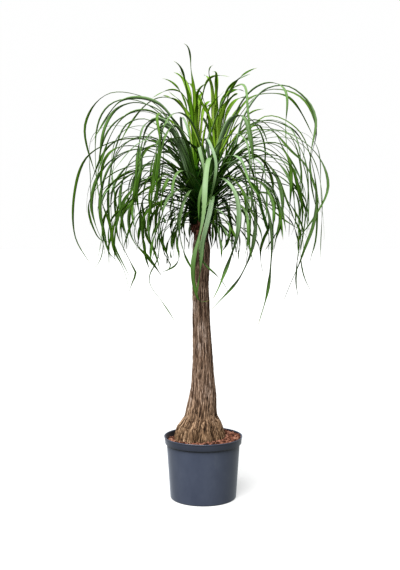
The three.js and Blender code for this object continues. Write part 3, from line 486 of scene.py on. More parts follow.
# ---- Mesh helpers ----
def make_object(name, vertices, faces, material, attributes=None, smooth=True):
    """A mesh object from millimetres, with a float attribute for each name in attributes."""
    mesh = bpy.data.meshes.new(name)
    mesh.from_pydata((np.asarray(vertices) * MM).tolist(), [], [list(face) for face in faces])
    mesh.validate()
    for key, values in (attributes or {}).items():
        mesh.attributes.new(key, "FLOAT", "POINT").data.foreach_set("value", np.asarray(values, np.float32))
    mesh.polygons.foreach_set("use_smooth", [smooth] * len(mesh.polygons))
    mesh.materials.append(material)
    made = bpy.data.objects.new(name, mesh)
    bpy.context.collection.objects.link(made)
    return made


def finish_piece(piece, slot, *nodes):
    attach(piece, "root")
    if nodes:
        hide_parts(*nodes)


def full_turn(sides):
    return np.arange(sides) * 2 * math.pi / sides


def ring(radius, z, turn, centre=(0, 0)):
    """Points round a centre. radius and z are one number, or one for each point."""
    return np.stack([centre[0] + radius * np.cos(turn), centre[1] + radius * np.sin(turn), z + 0 * turn], 1)


def ring_faces(rows, sides, closed_rows=False):
    """Quads between stacked rings of as many points each."""
    faces = []
    for row in range(rows if closed_rows else rows - 1):
        low = row * sides
        high = ((row + 1) % rows) * sides
        for side in range(sides):
            following = (side + 1) % sides
            faces.append((low + side, low + following, high + following, high + side))
    return faces


def tube_faces(rows, sides):
    """Faces of a closed body: quads between stacked rings, and a flat cap at each end."""
    last = (rows - 1) * sides
    return [*ring_faces(rows, sides), tuple(range(sides - 1, -1, -1)), tuple(range(last, last + sides))]


def flipped(faces):
    return [face[::-1] for face in faces]


class Pile:
    """Vertices, faces and attributes of many small closed bodies that end up in one mesh."""

    def __init__(self, *names):
        self.vertices = []
        self.faces = []
        self.values = {name: [] for name in names}
        self.count = 0

    def add(self, vertices, faces, **values):
        self.vertices.append(np.asarray(vertices, float))
        self.faces.extend(tuple(index + self.count for index in face) for face in faces)
        for name, value in values.items():
            self.values[name].append(np.broadcast_to(np.asarray(value, float), (len(vertices),)))
        self.count += len(vertices)

    def object(self, name, material, smooth=True):
        values = {key: np.concatenate(parts) for key, parts in self.values.items()}
        return make_object(name, np.concatenate(self.vertices), self.faces, material, values, smooth)


def cell_noise(across, along, cells, seed):
    """Seeded smooth noise from 0 to 1. across runs round once from 0 to 1; along counts cells."""
    rng = np.random.default_rng(seed)
    grid = rng.random((cells, int(np.max(along)) + 2))
    x = (across % 1) * cells
    x0 = np.floor(x).astype(int) % cells
    y0 = np.floor(along).astype(int)
    fx = x - np.floor(x)
    fy = along - np.floor(along)
    fx = fx * fx * (3 - 2 * fx)
    fy = fy * fy * (3 - 2 * fy)
    x1 = (x0 + 1) % cells
    low = grid[x0, y0] * (1 - fx) + grid[x1, y0] * fx
    high = grid[x0, y0 + 1] * (1 - fx) + grid[x1, y0 + 1] * fx
    return low * (1 - fy) + high * fy


def draws_from(seed):
    """Seeded draws between 0 and 1, the same as the part's."""
    state = seed
    while True:
        state = state * 16807 % 2147483647
        yield state / 2147483647


def between(pair, share):
    return pair[0] + (pair[1] - pair[0]) * share


def fade(value, start, end):
    """0 at start and before it, 1 at end and past it. end may be the smaller one."""
    return np.clip((value - start) / (end - start), 0, 1)


# ---- Materials ----
class Finish:
    """A procedural material: a Principled shader with a few nodes before it."""

    def __init__(self, name, **sockets):
        self.material = bpy.data.materials.new(name)
        self.material.use_nodes = True
        self.nodes = self.material.node_tree.nodes
        self.shader = self.nodes["Principled BSDF"]
        for socket, value in sockets.items():
            self.shader.inputs[socket.replace("_", " ")].default_value = value

    def link(self, source, target):
        self.material.node_tree.links.new(source, target)

    def feed(self, value, socket):
        """Links a node's output to the socket, or sets the socket to a number or a colour."""
        if isinstance(value, (int, float)):
            socket.default_value = value
        elif isinstance(value, tuple):
            socket.default_value = (*value, 1)
        else:
            self.link(value, socket)

    def attribute(self, name):
        node = self.nodes.new("ShaderNodeAttribute")
        node.attribute_name = name
        return node.outputs["Fac"]

    def position(self, scale=(1, 1, 1)):
        stretch = self.nodes.new("ShaderNodeVectorMath")
        stretch.operation = "MULTIPLY"
        stretch.inputs[1].default_value = scale
        self.link(self.nodes.new("ShaderNodeTexCoord").outputs["Object"], stretch.inputs[0])
        return stretch.outputs[0]

    def vector(self, *parts):
        node = self.nodes.new("ShaderNodeCombineXYZ")
        for part, socket in zip(parts, node.inputs):
            self.link(part, socket)
        return node.outputs[0]

    def noise(self, place, scale, detail=4.0, roughness=0.6):
        node = self.nodes.new("ShaderNodeTexNoise")
        node.inputs["Scale"].default_value = scale
        node.inputs["Detail"].default_value = detail
        node.inputs["Roughness"].default_value = roughness
        self.link(place, node.inputs["Vector"])
        return node.outputs["Fac"]

    def math(self, operation, first, second):
        node = self.nodes.new("ShaderNodeMath")
        node.operation = operation
        self.feed(first, node.inputs[0])
        self.feed(second, node.inputs[1])
        return node.outputs[0]

    def times(self, value, factor):
        return self.math("MULTIPLY", value, factor)

    def blend(self, first, first_share, second, second_share):
        return self.math("ADD", self.times(first, first_share), self.times(second, second_share))

    def ramp(self, factor, *stops):
        node = self.nodes.new("ShaderNodeValToRGB")
        elements = node.color_ramp.elements
        while len(elements) < len(stops):
            elements.new(0.5)
        for element, (place, colour) in zip(elements, stops):
            element.position = place
            element.color = (*colour, 1)
        self.link(factor, node.inputs["Fac"])
        return node.outputs["Color"]

    def mix(self, factor, first, second, blend="MIX"):
        node = self.nodes.new("ShaderNodeMix")
        node.data_type = "RGBA"
        node.blend_type = blend
        colours = [socket for socket in node.inputs if socket.type == "RGBA"]
        for value, socket in zip((factor, first, second), (node.inputs["Factor"], *colours)):
            self.feed(value, socket)
        return next(socket for socket in node.outputs if socket.type == "RGBA")

    def shade(self, colour, by):
        return self.mix(1.0, colour, by, "MULTIPLY")

    def bump(self, height, strength, distance):
        node = self.nodes.new("ShaderNodeBump")
        node.inputs["Strength"].default_value = strength
        node.inputs["Distance"].default_value = distance
        self.link(height, node.inputs["Height"])
        self.link(node.outputs["Normal"], self.shader.inputs["Normal"])

    def colour(self, source):
        self.link(source, self.shader.inputs["Base Color"])

    def roughness(self, source, low, high):
        node = self.nodes.new("ShaderNodeMapRange")
        node.inputs["To Min"].default_value = low
        node.inputs["To Max"].default_value = high
        self.link(source, node.inputs["Value"])
        self.link(node.outputs["Result"], self.shader.inputs["Roughness"])


def leaf_finish(name, deep, mid, pale, tip):
    """Fine veins along the blade, a tone for each leaf with a pale end partly a painted sheen, painted shade
    towards the root (partly the bases' own green) and over the hanging far half, and a drier tip.
    """
    finish = Finish(name, Specular_IOR_Level=0.03)
    along, across, leaf, under = map(finish.attribute, ("along", "across", "leaf", "under"))
    lengthways = map(finish.times, (across, along, leaf), (14.0, 2.5, 60.0))
    veins = finish.noise(finish.vector(*lengthways), scale=1.0, detail=3.0, roughness=0.65)
    patches = finish.noise(finish.position(), scale=9.0, detail=3.0)
    tone = finish.blend(leaf, 0.75, patches, 0.3)
    # The pale end of the tones is partly a painted sheen.
    colour = finish.ramp(tone, (0.15, deep), (0.5, mid), (0.95, pale))
    # Painted shade in the crown's heart, darker and greener towards the root; partly the leaf bases' own
    # darker green.
    root = finish.ramp(along, (0.0, (0.2, 0.42, 0.08)), (0.15, (0.45, 0.7, 0.27)), (0.3, (1, 1, 1)))
    # Painted shade: the hanging far half is darker than the lit rising part.
    hanging_shade = finish.ramp(along, (0.4, (1, 1, 1)), (0.85, (0.36, 0.5, 0.2)))
    colour = finish.shade(finish.shade(colour, root), hanging_shade)
    colour = finish.mix(finish.times(veins, 0.14), colour, mid)
    colour = finish.mix(finish.times(under, 0.12), colour, mid)
    dry = finish.times(finish.math("GREATER_THAN", along, 0.975), 0.7)
    finish.colour(finish.mix(dry, colour, tip))
    finish.roughness(veins, 0.3, 0.48)
    finish.bump(veins, 0.3, 0.0006)
    return finish.material


def core_finish():
    # Painted shade: the core is nearly black green, as it sits in the crown's heart.
    finish = Finish("core", Roughness=0.9, Specular_IOR_Level=0.05)
    grain = finish.noise(finish.position((1, 1, 0.2)), scale=60.0)
    finish.colour(finish.ramp(grain, (0.3, (0.002, 0.012, 0.0002)), (0.75, (0.005, 0.027, 0.0006))))
    finish.bump(grain, 0.5, 0.002)
    return finish.material


def bark_finish():
    """Grey-brown plates between fissures darkened by painted shade, straw-coloured at the foot and redder
    near the crown.
    """
    finish = Finish("bark", Specular_IOR_Level=0.12)
    fibre = finish.noise(finish.position((1, 1, 0.1)), scale=260.0, detail=4.0, roughness=0.75)
    patches = finish.noise(finish.position((1, 1, 0.35)), scale=22.0, detail=3.0)
    spots = finish.noise(finish.position((1, 1, 0.45)), scale=17.0, detail=5.0, roughness=0.72)
    cracks = finish.noise(finish.position((1, 1, 0.06)), scale=125.0, detail=2.0, roughness=0.4)
    tone = finish.blend(fibre, 0.62, patches, 0.38)
    plate = finish.ramp(
        tone, (0.34, (0.052, 0.035, 0.024)), (0.5, (0.132, 0.092, 0.067)), (0.66, (0.26, 0.2, 0.16)),
    )
    lichen = finish.ramp(spots, (0.55, (0, 0, 0)), (0.7, (0.6, 0.6, 0.6)))
    plate = finish.mix(lichen, plate, (0.33, 0.29, 0.27))
    straw = finish.ramp(
        tone, (0.34, (0.046, 0.027, 0.014)), (0.5, (0.135, 0.089, 0.053)), (0.66, (0.26, 0.19, 0.13)),
    )
    reddish = finish.ramp(fibre, (0.3, (0.04, 0.016, 0.012)), (0.7, (0.14, 0.06, 0.04)))
    colour = finish.mix(finish.attribute("foot"), plate, straw)
    colour = finish.mix(finish.attribute("crown"), colour, reddish)
    # Painted shade: dark narrow fissures drawn from noise, not from the mesh.
    crack_shade = finish.ramp(cracks, (0.36, (0.3, 0.24, 0.2)), (0.43, (1, 1, 1)))
    # Painted shade in the trunk's low grooves and a little painted light on its raised plates; on the
    # slivers this ramp only gives each its own tone.
    groove_shade_and_sliver_tone = finish.ramp(
        finish.attribute("relief"), (0.1, (0.06, 0.04, 0.03)), (0.5, (0.45, 0.4, 0.36)),
        (0.88, (1.2, 1.18, 1.16)),
    )
    finish.colour(finish.shade(finish.shade(colour, crack_shade), groove_shade_and_sliver_tone))
    finish.roughness(fibre, 0.75, 0.98)
    finish.bump(fibre, 0.8, 0.002)
    return finish.material


def chip_finish():
    """Porous reddish-brown lava, each chip with its own tone; the ramp's darkest end also paints the shade
    on the bed between the chips.
    """
    finish = Finish("lava", Specular_IOR_Level=0.12)
    pores = finish.noise(finish.position(), scale=420.0, detail=4.0, roughness=0.7)
    finish.colour(finish.ramp(
        finish.blend(finish.attribute("chip"), 0.8, pores, 0.25), (0.14, (0.005, 0.002, 0.0015)),
        (0.42, (0.03, 0.011, 0.006)), (0.7, (0.092, 0.038, 0.024)), (0.97, (0.17, 0.093, 0.066)),
    ))
    finish.roughness(pores, 0.8, 1.0)
    finish.bump(pores, 0.9, 0.0015)
    return finish.material


def pot_finish():
    """Slate-grey moulded plastic: dusty patches and light scuffs, nearly black where shade is painted."""
    finish = Finish(
        "pot_plastic", Specular_IOR_Level=0.45, Sheen_Weight=0.15, Sheen_Roughness=0.35,
        Sheen_Tint=(0.8, 0.86, 1.0, 1.0),
    )
    dust = finish.noise(finish.position((1, 1, 0.6)), scale=9.0, detail=5.0, roughness=0.65)
    scuffs = finish.noise(finish.position((1, 1, 5)), scale=55.0, detail=3.0, roughness=0.7)
    grain = finish.noise(finish.position(), scale=900.0, detail=2.0)
    base = finish.ramp(
        dust, (0.3, (0.021, 0.026, 0.042)), (0.6, (0.029, 0.035, 0.053)), (0.85, (0.042, 0.049, 0.064)),
    )
    marks = finish.ramp(scuffs, (0.68, (0, 0, 0)), (0.82, (0.15, 0.15, 0.15)))
    worn = finish.mix(marks, base, (0.05, 0.056, 0.068))
    # Painted shade: nearly black inside the pot, a dark line under the collar and a darker collar.
    finish.colour(finish.mix(finish.attribute("pot_shade"), worn, (0.002, 0.0022, 0.003)))
    finish.roughness(dust, 0.3, 0.46)
    finish.bump(grain, 0.15, 0.0005)
    return finish.material


def soil_finish():
    finish = Finish("soil", Specular_IOR_Level=0.1)
    crumbs = finish.noise(finish.position(), scale=130.0, detail=6.0, roughness=0.7)
    finish.colour(finish.ramp(crumbs, (0.3, (0.012, 0.008, 0.006)), (0.75, (0.075, 0.045, 0.03))))
    finish.roughness(crumbs, 0.85, 1.0)
    finish.bump(crumbs, 1.0, 0.004)
    return finish.material


def floor_finish():
    """A white lit table, so that the shadows on it stay pale."""
    finish = Finish(
        "floor", Roughness=0.9, Specular_IOR_Level=0.0, Emission_Color=(1, 1, 1, 1),
        Emission_Strength=FLOOR_GLOW,
    )
    cloud = finish.noise(finish.position(), scale=1.5, detail=2.0)
    finish.colour(finish.ramp(cloud, (0.2, FLOOR_TONES[:1] * 3), (0.8, FLOOR_TONES[1:] * 3)))
    return finish.material


# ---- Pot, soil and chips ----
def rounded(profile):
    """The profile with its inner corners replaced by short arcs."""
    points = [np.array(point, float) for point in profile]
    out = [points[0]]
    for before, corner, after in zip(points, points[1:], points[2:]):
        back = before - corner
        ahead = after - corner
        cut = min(POT_ROUNDING, CORNER_SHARE * np.hypot(*back), CORNER_SHARE * np.hypot(*ahead))
        start = corner + back / np.hypot(*back) * cut
        end = corner + ahead / np.hypot(*ahead) * cut
        for t in np.linspace(0, 1, CORNER_STEPS + 1):
            out.append((1 - t) ** 2 * start + 2 * t * (1 - t) * corner + t * t * end)
    out.append(points[-1])
    return out


def turned(profile, sides):
    """Vertices and faces of a closed body turned round Z. The profile's ends lie on the axis."""
    inner = profile[1:-1]
    rings = [ring(radius, z, full_turn(sides)) for radius, z in inner]
    vertices = np.concatenate([*rings, [[0, 0, profile[0][1]], [0, 0, profile[-1][1]]]])
    faces = ring_faces(len(inner), sides)
    first = len(vertices) - 2
    last = (len(inner) - 1) * sides
    for side in range(sides):
        following = (side + 1) % sides
        faces.append((first, following, side))
        faces.append((first + 1, last + side, last + following))
    return vertices, faces


def pot_painted_shade(vertices):
    """Painted shade on the pot at each point: most inside, some under the collar, a little on it."""
    z = vertices[:, 2]
    under = SHADE_UNDER_COLLAR["depth"] * np.exp(
        -(((z - SHADE_UNDER_COLLAR["z"]) / SHADE_UNDER_COLLAR["spread"]) ** 2)
    )
    collar = SHADE_ON_COLLAR["depth"] * fade(z, *SHADE_ON_COLLAR["low"]) * fade(z, *SHADE_ON_COLLAR["high"])
    from_axis = np.hypot(vertices[:, 0], vertices[:, 1])
    inside = (from_axis < SHADE_INSIDE["within"]) & (z > SHADE_INSIDE["above"])
    return np.maximum(np.maximum(under, collar), inside)


def make_pot(material):
    vertices, faces = turned(rounded([*POT_OUTSIDE, *POT_INSIDE, (0, POT_FLOOR)]), POT_SIDES)
    pot = make_object("pot_shell", vertices, faces, material, {"pot_shade": pot_painted_shade(vertices)})
    bpy.context.view_layer.objects.active = pot
    for number in range(DRAIN_HOLES):
        angle = 2 * math.pi * (number + 0.5) / DRAIN_HOLES
        points, sides = turned(DRAIN_HOLE, DRAIN_SIDES)
        points += [DRAIN_CIRCLE * math.cos(angle), DRAIN_CIRCLE * math.sin(angle), 0]
        drill = make_object("drill", points, sides, material)
        cut = pot.modifiers.new("drain", "BOOLEAN")
        cut.operation = "DIFFERENCE"
        cut.object = drill
        bpy.ops.object.modifier_apply(modifier=cut.name)
        bpy.data.objects.remove(drill)
    finish_piece(pot, "pot_plastic", "pot")


def inside_radius(z):
    radii, heights = zip(*reversed(POT_INSIDE))
    return float(np.interp(z, heights, radii))


def chip_hollow(x, y):
    """How far the chips have sunk at the left, behind the trunk."""
    return CHIP_HOLLOW["depth"] * fade(x, *CHIP_HOLLOW["x"]) * fade(y, *CHIP_HOLLOW["y"])


def bed_ring(radius, turn, centre_x=0):
    """A ring that follows the top of the bed, under its cover of chips."""
    points = ring(radius, 0.0, turn, (centre_x, 0))
    x, y, _ = points.T
    sunk = CHIP_BED_SAG * np.hypot(x, y) / POT_SHOULDER_RADIUS + CHIP_HOLLOW["bed"] * chip_hollow(x, y)
    points[:, 2] = CHIP_BED_TOP - sunk + CHIP_BED_TILT[0] * x + CHIP_BED_TILT[1] * y - CHIP_BED_COVER
    return points


def make_chip_bed(material):
    """A low bed under the loose chips, from the pot's wall to under the trunk's edge, nearly black as
    painted shade between them.
    """
    turn = full_turn(CHIP_BED_SIDES)
    rings = [ring(inside_radius(at) - gap, z, turn) for at, gap, z in CHIP_BED_WALL]
    rings += [bed_ring(radius, turn) for radius in CHIP_BED_RINGS]
    (top, bottom), (top_x, bottom_x) = trunk_outline(np.array([BED_TRUNK_Z, CHIP_BED_BOTTOM]))
    rings.append(bed_ring(top - TRUNK_OVERLAP, turn, top_x))
    rings.append(ring(bottom - TRUNK_OVERLAP, CHIP_BED_BOTTOM, turn, (bottom_x, 0)))
    faces = ring_faces(len(rings), CHIP_BED_SIDES, closed_rows=True)
    vertices = np.concatenate(rings)
    bed = make_object("chip_bed", vertices, faces, material, {"chip": [CHIP_GAP_SHADE_TONE] * len(vertices)})
    finish_piece(bed, "lava_chips", "lava_chips")


def ball_shape():
    """Vertices and faces of a ball of 80 triangles."""
    mesh = bpy.data.meshes.new("ball")
    ball = bmesh.new()
    bmesh.ops.create_icosphere(ball, subdivisions=2, radius=1)
    ball.to_mesh(mesh)
    ball.free()
    vertices = np.array([vertex.co[:] for vertex in mesh.vertices])
    faces = [tuple(face.vertices) for face in mesh.polygons]
    bpy.data.meshes.remove(mesh)
    return vertices, faces


def make_chips(material):
    rng = np.random.default_rng(CHIP_SEED)
    ball, faces = ball_shape()
    pile = Pile("chip")
    (edge,), (shift,) = trunk_outline(np.array([CHIP_TRUNK_Z]))
    for number in range(CHIP_COUNT):
        size = between(CHIP_SIZE, rng.random() ** CHIP_SMALLNESS)
        area = (number + rng.random()) / CHIP_COUNT
        reach = inside_radius(CHIP_REACH_Z) - CHIP_WALL_GAP * size
        distance = math.sqrt(between((CHIP_INNERMOST**2, reach**2), area))
        angle = 2 * math.pi * GOLDEN * number + CHIP_JITTER * rng.random()
        x = distance * math.cos(angle)
        y = distance * math.sin(angle)
        rise = CHIP_HEAP["rise"] * rng.random()
        if math.hypot(x - shift, y) < edge - TRUNK_OVERLAP + CHIP_TRUNK_GAP * size:
            continue
        z = CHIP_HEAP["base"] + CHIP_HEAP["to_right"] * x + CHIP_HEAP["to_back"] * y + rise
        z -= chip_hollow(x, y)
        rough = ball * (1 + CHIP_ROUGHNESS * (rng.random((len(ball), 1)) - 0.5))
        spin, _ = np.linalg.qr(rng.normal(size=(3, 3)))
        if np.linalg.det(spin) < 0:
            spin[:, 0] *= -1
        sizes = size * np.array([1, between(CHIP_DEPTH, rng.random()), between(CHIP_HEIGHT, rng.random())])
        pile.add((rough * sizes) @ spin.T + (x, y, z), faces, chip=between(CHIP_TONE, rng.random()))
    finish_piece(pile.object("chips", material, smooth=False), "lava_chips", "lava_chips")


# ---- Trunk ----
def smooth_rows(z, column):
    """A column of the trunk's table, smooth between its rows."""
    keys = np.array([row[0] for row in TRUNK_ROWS], float)
    values = np.array([row[column] for row in TRUNK_ROWS], float)
    slopes = np.gradient(values, keys)
    index = np.clip(np.searchsorted(keys, z, side="right") - 1, 0, len(keys) - 2)
    span = keys[index + 1] - keys[index]
    t = np.clip((z - keys[index]) / span, 0, 1)
    start = (2 * t**3 - 3 * t**2 + 1) * values[index] + (t**3 - 2 * t**2 + t) * span * slopes[index]
    end = (3 * t**2 - 2 * t**3) * values[index + 1] + (t**3 - t**2) * span * slopes[index + 1]
    return start + end


def trunk_outline(z):
    """Radius of the trunk and sideways shift of its centre line at each height."""
    return smooth_rows(z, 1), smooth_rows(z, 2)


def grooves(around, z, count, run, sharp, seed):
    """Upright grooves that wander, fork and fade: 1 in the middle of a deep one, 0 on a plate."""
    wander = cell_noise(around, z / run, count // 3, seed) - 0.5
    shiver = cell_noise(around, z / (GROOVE_SHIVER["length"] * run), count, seed + 1) - 0.5
    depth = cell_noise(around, z / (GROOVE_DEPTH["length"] * run), count, seed + 2)
    depth = between((GROOVE_DEPTH["least"], 1), depth)
    phase = 2 * math.pi * (count * around + GROOVE_WANDER * wander + GROOVE_SHIVER["amount"] * shiver)
    return depth * (0.5 + 0.5 * np.cos(phase)) ** sharp


def unevenness(around, z, run, count, seed):
    """Seeded noise on the trunk, from -0.5 to 0.5."""
    return cell_noise(around, z / run, count, seed) - 0.5


def make_trunk(material):
    buried = [row[0] for row in TRUNK_ROWS[:BURIED_ROWS]]
    heights = np.concatenate([buried, np.linspace(BARK_START, TRUNK_TOP, BARK_ROWS)])
    z, share = np.meshgrid(heights, np.arange(BARK_SECTORS) / BARK_SECTORS, indexing="ij")
    angle = 2 * math.pi * share
    radius, shift = trunk_outline(z)
    foot = fade(z, *FOOT_FORM)
    neck = fade(z, *NECK)
    waver = RIDGES["waver"] * np.sin(z / RIDGES["waver_length"]) + z / RIDGES["slant_length"]
    wave = np.cos(RIDGES["count"] * angle + waver)
    wide = grooves(share, z, *WIDE_GROOVES) * (1 - WIDE_LOSS_AT_FOOT * foot)
    mid = MID_DEPTH * grooves(share, z, *MID_GROOVES)
    narrow = NARROW_DEPTH * grooves(share, z, *NARROW_GROOVES) * (0.5 + foot)
    split = np.clip(np.clip(np.maximum(wide, mid), 0, 1) + narrow, 0, 1)
    flakes = unevenness(share, z, *FLAKES)
    strands = unevenness(share, z, *STRANDS)
    scars = SCAR_DEPTH * unevenness(share, z, *SCARS) * neck
    out = between(RIDGE_DEPTH, foot) * (wave - 1) - between(FISSURE_DEPTH, foot) * split
    out += flakes + between(STRAND_DEPTH, foot) * strands + scars
    distance = radius + fade(z, *BARK_FADE) * (out + BARK_SWELL)
    vertices = np.stack([shift + distance * np.cos(angle), distance * np.sin(angle), z], -1).reshape(-1, 3)
    # How far out the bark stands; the finish darkens the low parts with painted shade.
    relief = RELIEF["plate"] * (1 - split) + RELIEF["strands"] * strands + RELIEF["flakes"] * flakes
    relief = np.clip(relief, 0, 1)
    attributes = {"relief": relief.ravel(), "foot": fade(z, *FOOT_COLOUR).ravel(), "crown": neck.ravel()}
    faces = tube_faces(len(heights), BARK_SECTORS)
    finish_piece(make_object("bark", vertices, faces, material, attributes), "bark", "trunk")


def facing(angle):
    """The directions outward and sideways at an angle round the trunk."""
    outward = np.array([math.cos(angle), math.sin(angle), 0.0])
    return outward, np.array([-outward[1], outward[0], 0.0])


def sliver_ring(centre, outward, across, half_width, half_depth):
    """Four points round the centre of a sliver of bark."""
    return [centre + across * half_width * x + outward * half_depth * y for x, y in SLIVER_SECTION]


def make_fibres(material):
    """Loose slivers of bark that lie up the trunk, most of them on its foot."""
    rng = np.random.default_rng(FIBRE_SEED)
    pile = Pile("relief", "foot", "crown")
    faces = flipped(tube_faces(FIBRE_STEPS, len(SLIVER_SECTION)))
    for number in range(FIBRE_COUNT):
        kind = FOOT_FIBRES if number < FOOT_FIBRES["share"] * FIBRE_COUNT else TRUNK_FIBRES
        start = between(kind["start"], rng.random())
        angle = 2 * math.pi * GOLDEN * number
        length = between(FIBRE_LENGTH, rng.random())
        width = between(FIBRE_WIDTH, rng.random())
        lean = FIBRE_LEAN * (rng.random() - 0.5)
        lift = between(kind["lift"], rng.random() ** 2)
        rows = []
        for share in np.linspace(0, 1, FIBRE_STEPS):
            z = start + length * share
            (radius,), (shift,) = trunk_outline(np.array([z]))
            outward, across = facing(angle + lean * share * length / radius)
            centre = outward * (radius - FIBRE_SUNK + lift * math.sin(math.pi * share)) + (shift, 0, z)
            half = 0.5 * width * (1 - abs(2 * share - 1) ** FIBRE_TAPER) + FIBRE_END
            rows += sliver_ring(centre, outward, across, half, FIBRE_HALF_DEPTH)
        foot = fade(start, *FOOT_COLOUR)
        pile.add(rows, faces, relief=between(FIBRE_TONE, rng.random()), foot=foot, crown=0)
    finish_piece(pile.object("bark_fibres", material), "bark")


def make_collar(material):
    """Old leaf bases in a ragged ring where the trunk meets the crown: papery, curved, pointed scales."""
    rng = np.random.default_rng(SCALE_SEED)
    pile = Pile("relief", "foot", "crown")
    faces = tube_faces(len(SCALE_STEPS), len(SLIVER_SECTION))
    for number in range(SCALE_COUNT):
        outward, across = facing(2 * math.pi * GOLDEN * number)
        z = between(SCALE_HEIGHTS, rng.random())
        (radius,), (shift,) = trunk_outline(np.array([min(z, TRUNK_TOP)]))
        root = outward * (radius - 1) + (shift, 0, z)
        length = between(SCALE_LENGTH, rng.random()) * (1 if rng.random() < SCALES_UP else -1)
        width = between(SCALE_WIDTH, rng.random())
        lift = between(SCALE_LIFT, rng.random())
        rows = []
        for share in SCALE_STEPS:
            centre = root + outward * lift * share**SCALE_CURL + (0, 0, length * share)
            half = 0.5 * width * (1 - share) ** SCALE_TAPER + SCALE_END
            rows += sliver_ring(centre, outward, across, half, SCALE_HALF_DEPTH)
        skin = flipped(faces) if length < 0 else faces
        pile.add(rows, skin, relief=between(SCALE_TONE, rng.random()), foot=0, crown=1)
    finish_piece(pile.object("leaf_bases", material), "bark")


# ---- Leaves ----
def axis_point(head, share):
    return np.array(head["foot"], float) * (1 - share) + np.array(head["tip"], float) * share


def core_radius(share):
    return np.interp(share, CORE_SHARES, CORE_RADII)


def bent_over(along, bend_at, bend_span):
    """Share of its whole bend that a leaf has made at a place along it."""
    def curve(x):
        return 1 / (1 + math.exp(-BEND_SHARPNESS * (x - bend_at) / bend_span))

    return (curve(along) - curve(0)) / (curve(1) - curve(0))


def leaf_path(root, leaf):
    """Points of a leaf that rises, bends over and hangs. The rule is the part's."""
    point = np.array(root, float)
    points = [point.copy()]
    step = leaf["length"] / PATH_STEPS
    for number in range(PATH_STEPS):
        along = (number + 0.5) / PATH_STEPS
        bent = bent_over(along, leaf["bend_at"], leaf["bend_span"])
        sway = SWAY["degrees"] * math.sin(2 * math.pi * (SWAY["waves"] * along + leaf["phase"])) * bent
        pitch = math.radians(leaf["rise"] + (leaf["hang"] - leaf["rise"]) * bent + sway)
        turned_by = DRIFT_GAIN * leaf["drift"] * along * along + 2 * sway * bent
        heading = math.radians(leaf["azimuth"] + turned_by)
        flat = step * math.cos(pitch)
        point += (flat * math.cos(heading), flat * math.sin(heading), step * math.sin(pitch))
        points.append(point.copy())
    points = np.array(points)
    out = np.hypot(points[:, 0] - CROWN_AXIS_X, points[:, 1])
    pull = (1 + (out / CROWN_REACH) ** REACH_POWER) ** (-1 / REACH_POWER)
    points[:, 0] = CROWN_AXIS_X + (points[:, 0] - CROWN_AXIS_X) * pull
    points[:, 1] *= pull
    return points


def toward(start, end, first, last, place):
    return start + (end - start) * (place - first) / (last - first)


def through_points(points):
    """Centripetal Catmull-Rom curve through the points, in PATH_STEPS steps of equal length."""
    points = np.asarray(points, float)
    knots = np.concatenate([[0], np.cumsum(np.linalg.norm(np.diff(points, axis=0), axis=1) ** 0.5)])
    places = np.linspace(0, knots[-1], CURVE_DETAIL * PATH_STEPS + 1)
    spans = np.clip(np.searchsorted(knots, places, side="right") - 1, 0, len(points) - 2)
    knots = np.concatenate([[2 * knots[0] - knots[1]], knots, [2 * knots[-1] - knots[-2]]])
    points = np.vstack([2 * points[0] - points[1], points, 2 * points[-1] - points[-2]])
    curve = []
    for place, i in zip(places, spans):
        p = points[i:i + 4]
        t = knots[i:i + 4]
        near = [toward(p[k], p[k + 1], t[k], t[k + 1], place) for k in range(3)]
        mid = [toward(near[k], near[k + 1], t[k], t[k + 2], place) for k in range(2)]
        curve.append(toward(*mid, t[1], t[2], place))
    curve = np.array(curve)
    run = np.concatenate([[0], np.cumsum(np.linalg.norm(np.diff(curve, axis=0), axis=1))])
    spaced = np.linspace(0, run[-1], PATH_STEPS + 1)
    return np.stack([np.interp(spaced, run, curve[:, axis]) for axis in range(3)], 1)


def rocked(across, up, angles):
    """The two directions turned about the leaf by an angle at each point."""
    cos = np.cos(angles)[:, None]
    sin = np.sin(angles)[:, None]
    return across * cos + up * sin, up * cos - across * sin


def blade_frames(path, twist):
    """Width direction and upward normal at each point, turned slowly along the leaf by its twist."""
    along = np.vstack([path[1:], path[-1:]]) - np.vstack([path[:1], path[:-1]])
    along /= np.linalg.norm(along, axis=1)[:, None]
    across = np.array([-along[0, 1], along[0, 0], 0.0])
    rows = []
    for direction in along:
        across = across - across.dot(direction) * direction
        across /= np.linalg.norm(across)
        rows.append(across.copy())
    across = np.array(rows)
    share = fade(np.linspace(0, 1, len(path)), *TWIST_RUN)
    return rocked(across, np.cross(along, across), math.radians(twist) * share**1.5)


def width_share(along, blunt):
    """Share of the full width along a leaf. blunt is True, False or LATE."""
    if blunt == LATE:
        swell = between((LATE_SHAPE["root"], 1), fade(along, *LATE_SHAPE["swell"]))
        taper = 1 - fade(along, *LATE_SHAPE["taper"]) ** LATE_SHAPE["taper_power"]
        return swell * np.maximum(taper, LATE_SHAPE["tip"])
    swell = between((LEAF_SHAPE["root"], 1), fade(along, 0, LEAF_SHAPE["full_at"]))
    taper = (1 - fade(along, *LEAF_SHAPE["taper"]) ** LEAF_SHAPE["taper_power"]) ** LEAF_SHAPE["fullness"]
    return swell * np.maximum(taper, LEAF_SHAPE["blunt_tip" if blunt else "tip"])


def rippled(path, amount, phase):
    """The path with soft waves that grow towards its tip."""
    across, up = blade_frames(path, 0)
    along = np.linspace(0, 1, len(path))[:, None]
    swing = amount * along ** RIPPLE_WAVES["growth"]
    sideways = np.sin(2 * math.pi * (RIPPLE_WAVES["sideways"] * along + phase))
    upright = np.sin(2 * math.pi * (RIPPLE_WAVES["upright"] * along + RIPPLE_WAVES["shift"] * phase))
    return path + across * (swing * sideways) + up * (RIPPLE_WAVES["flatness"] * swing * upright)


BLADE_FACES = flipped(tube_faces(PATH_STEPS + 1, len(BLADE_SECTION)))


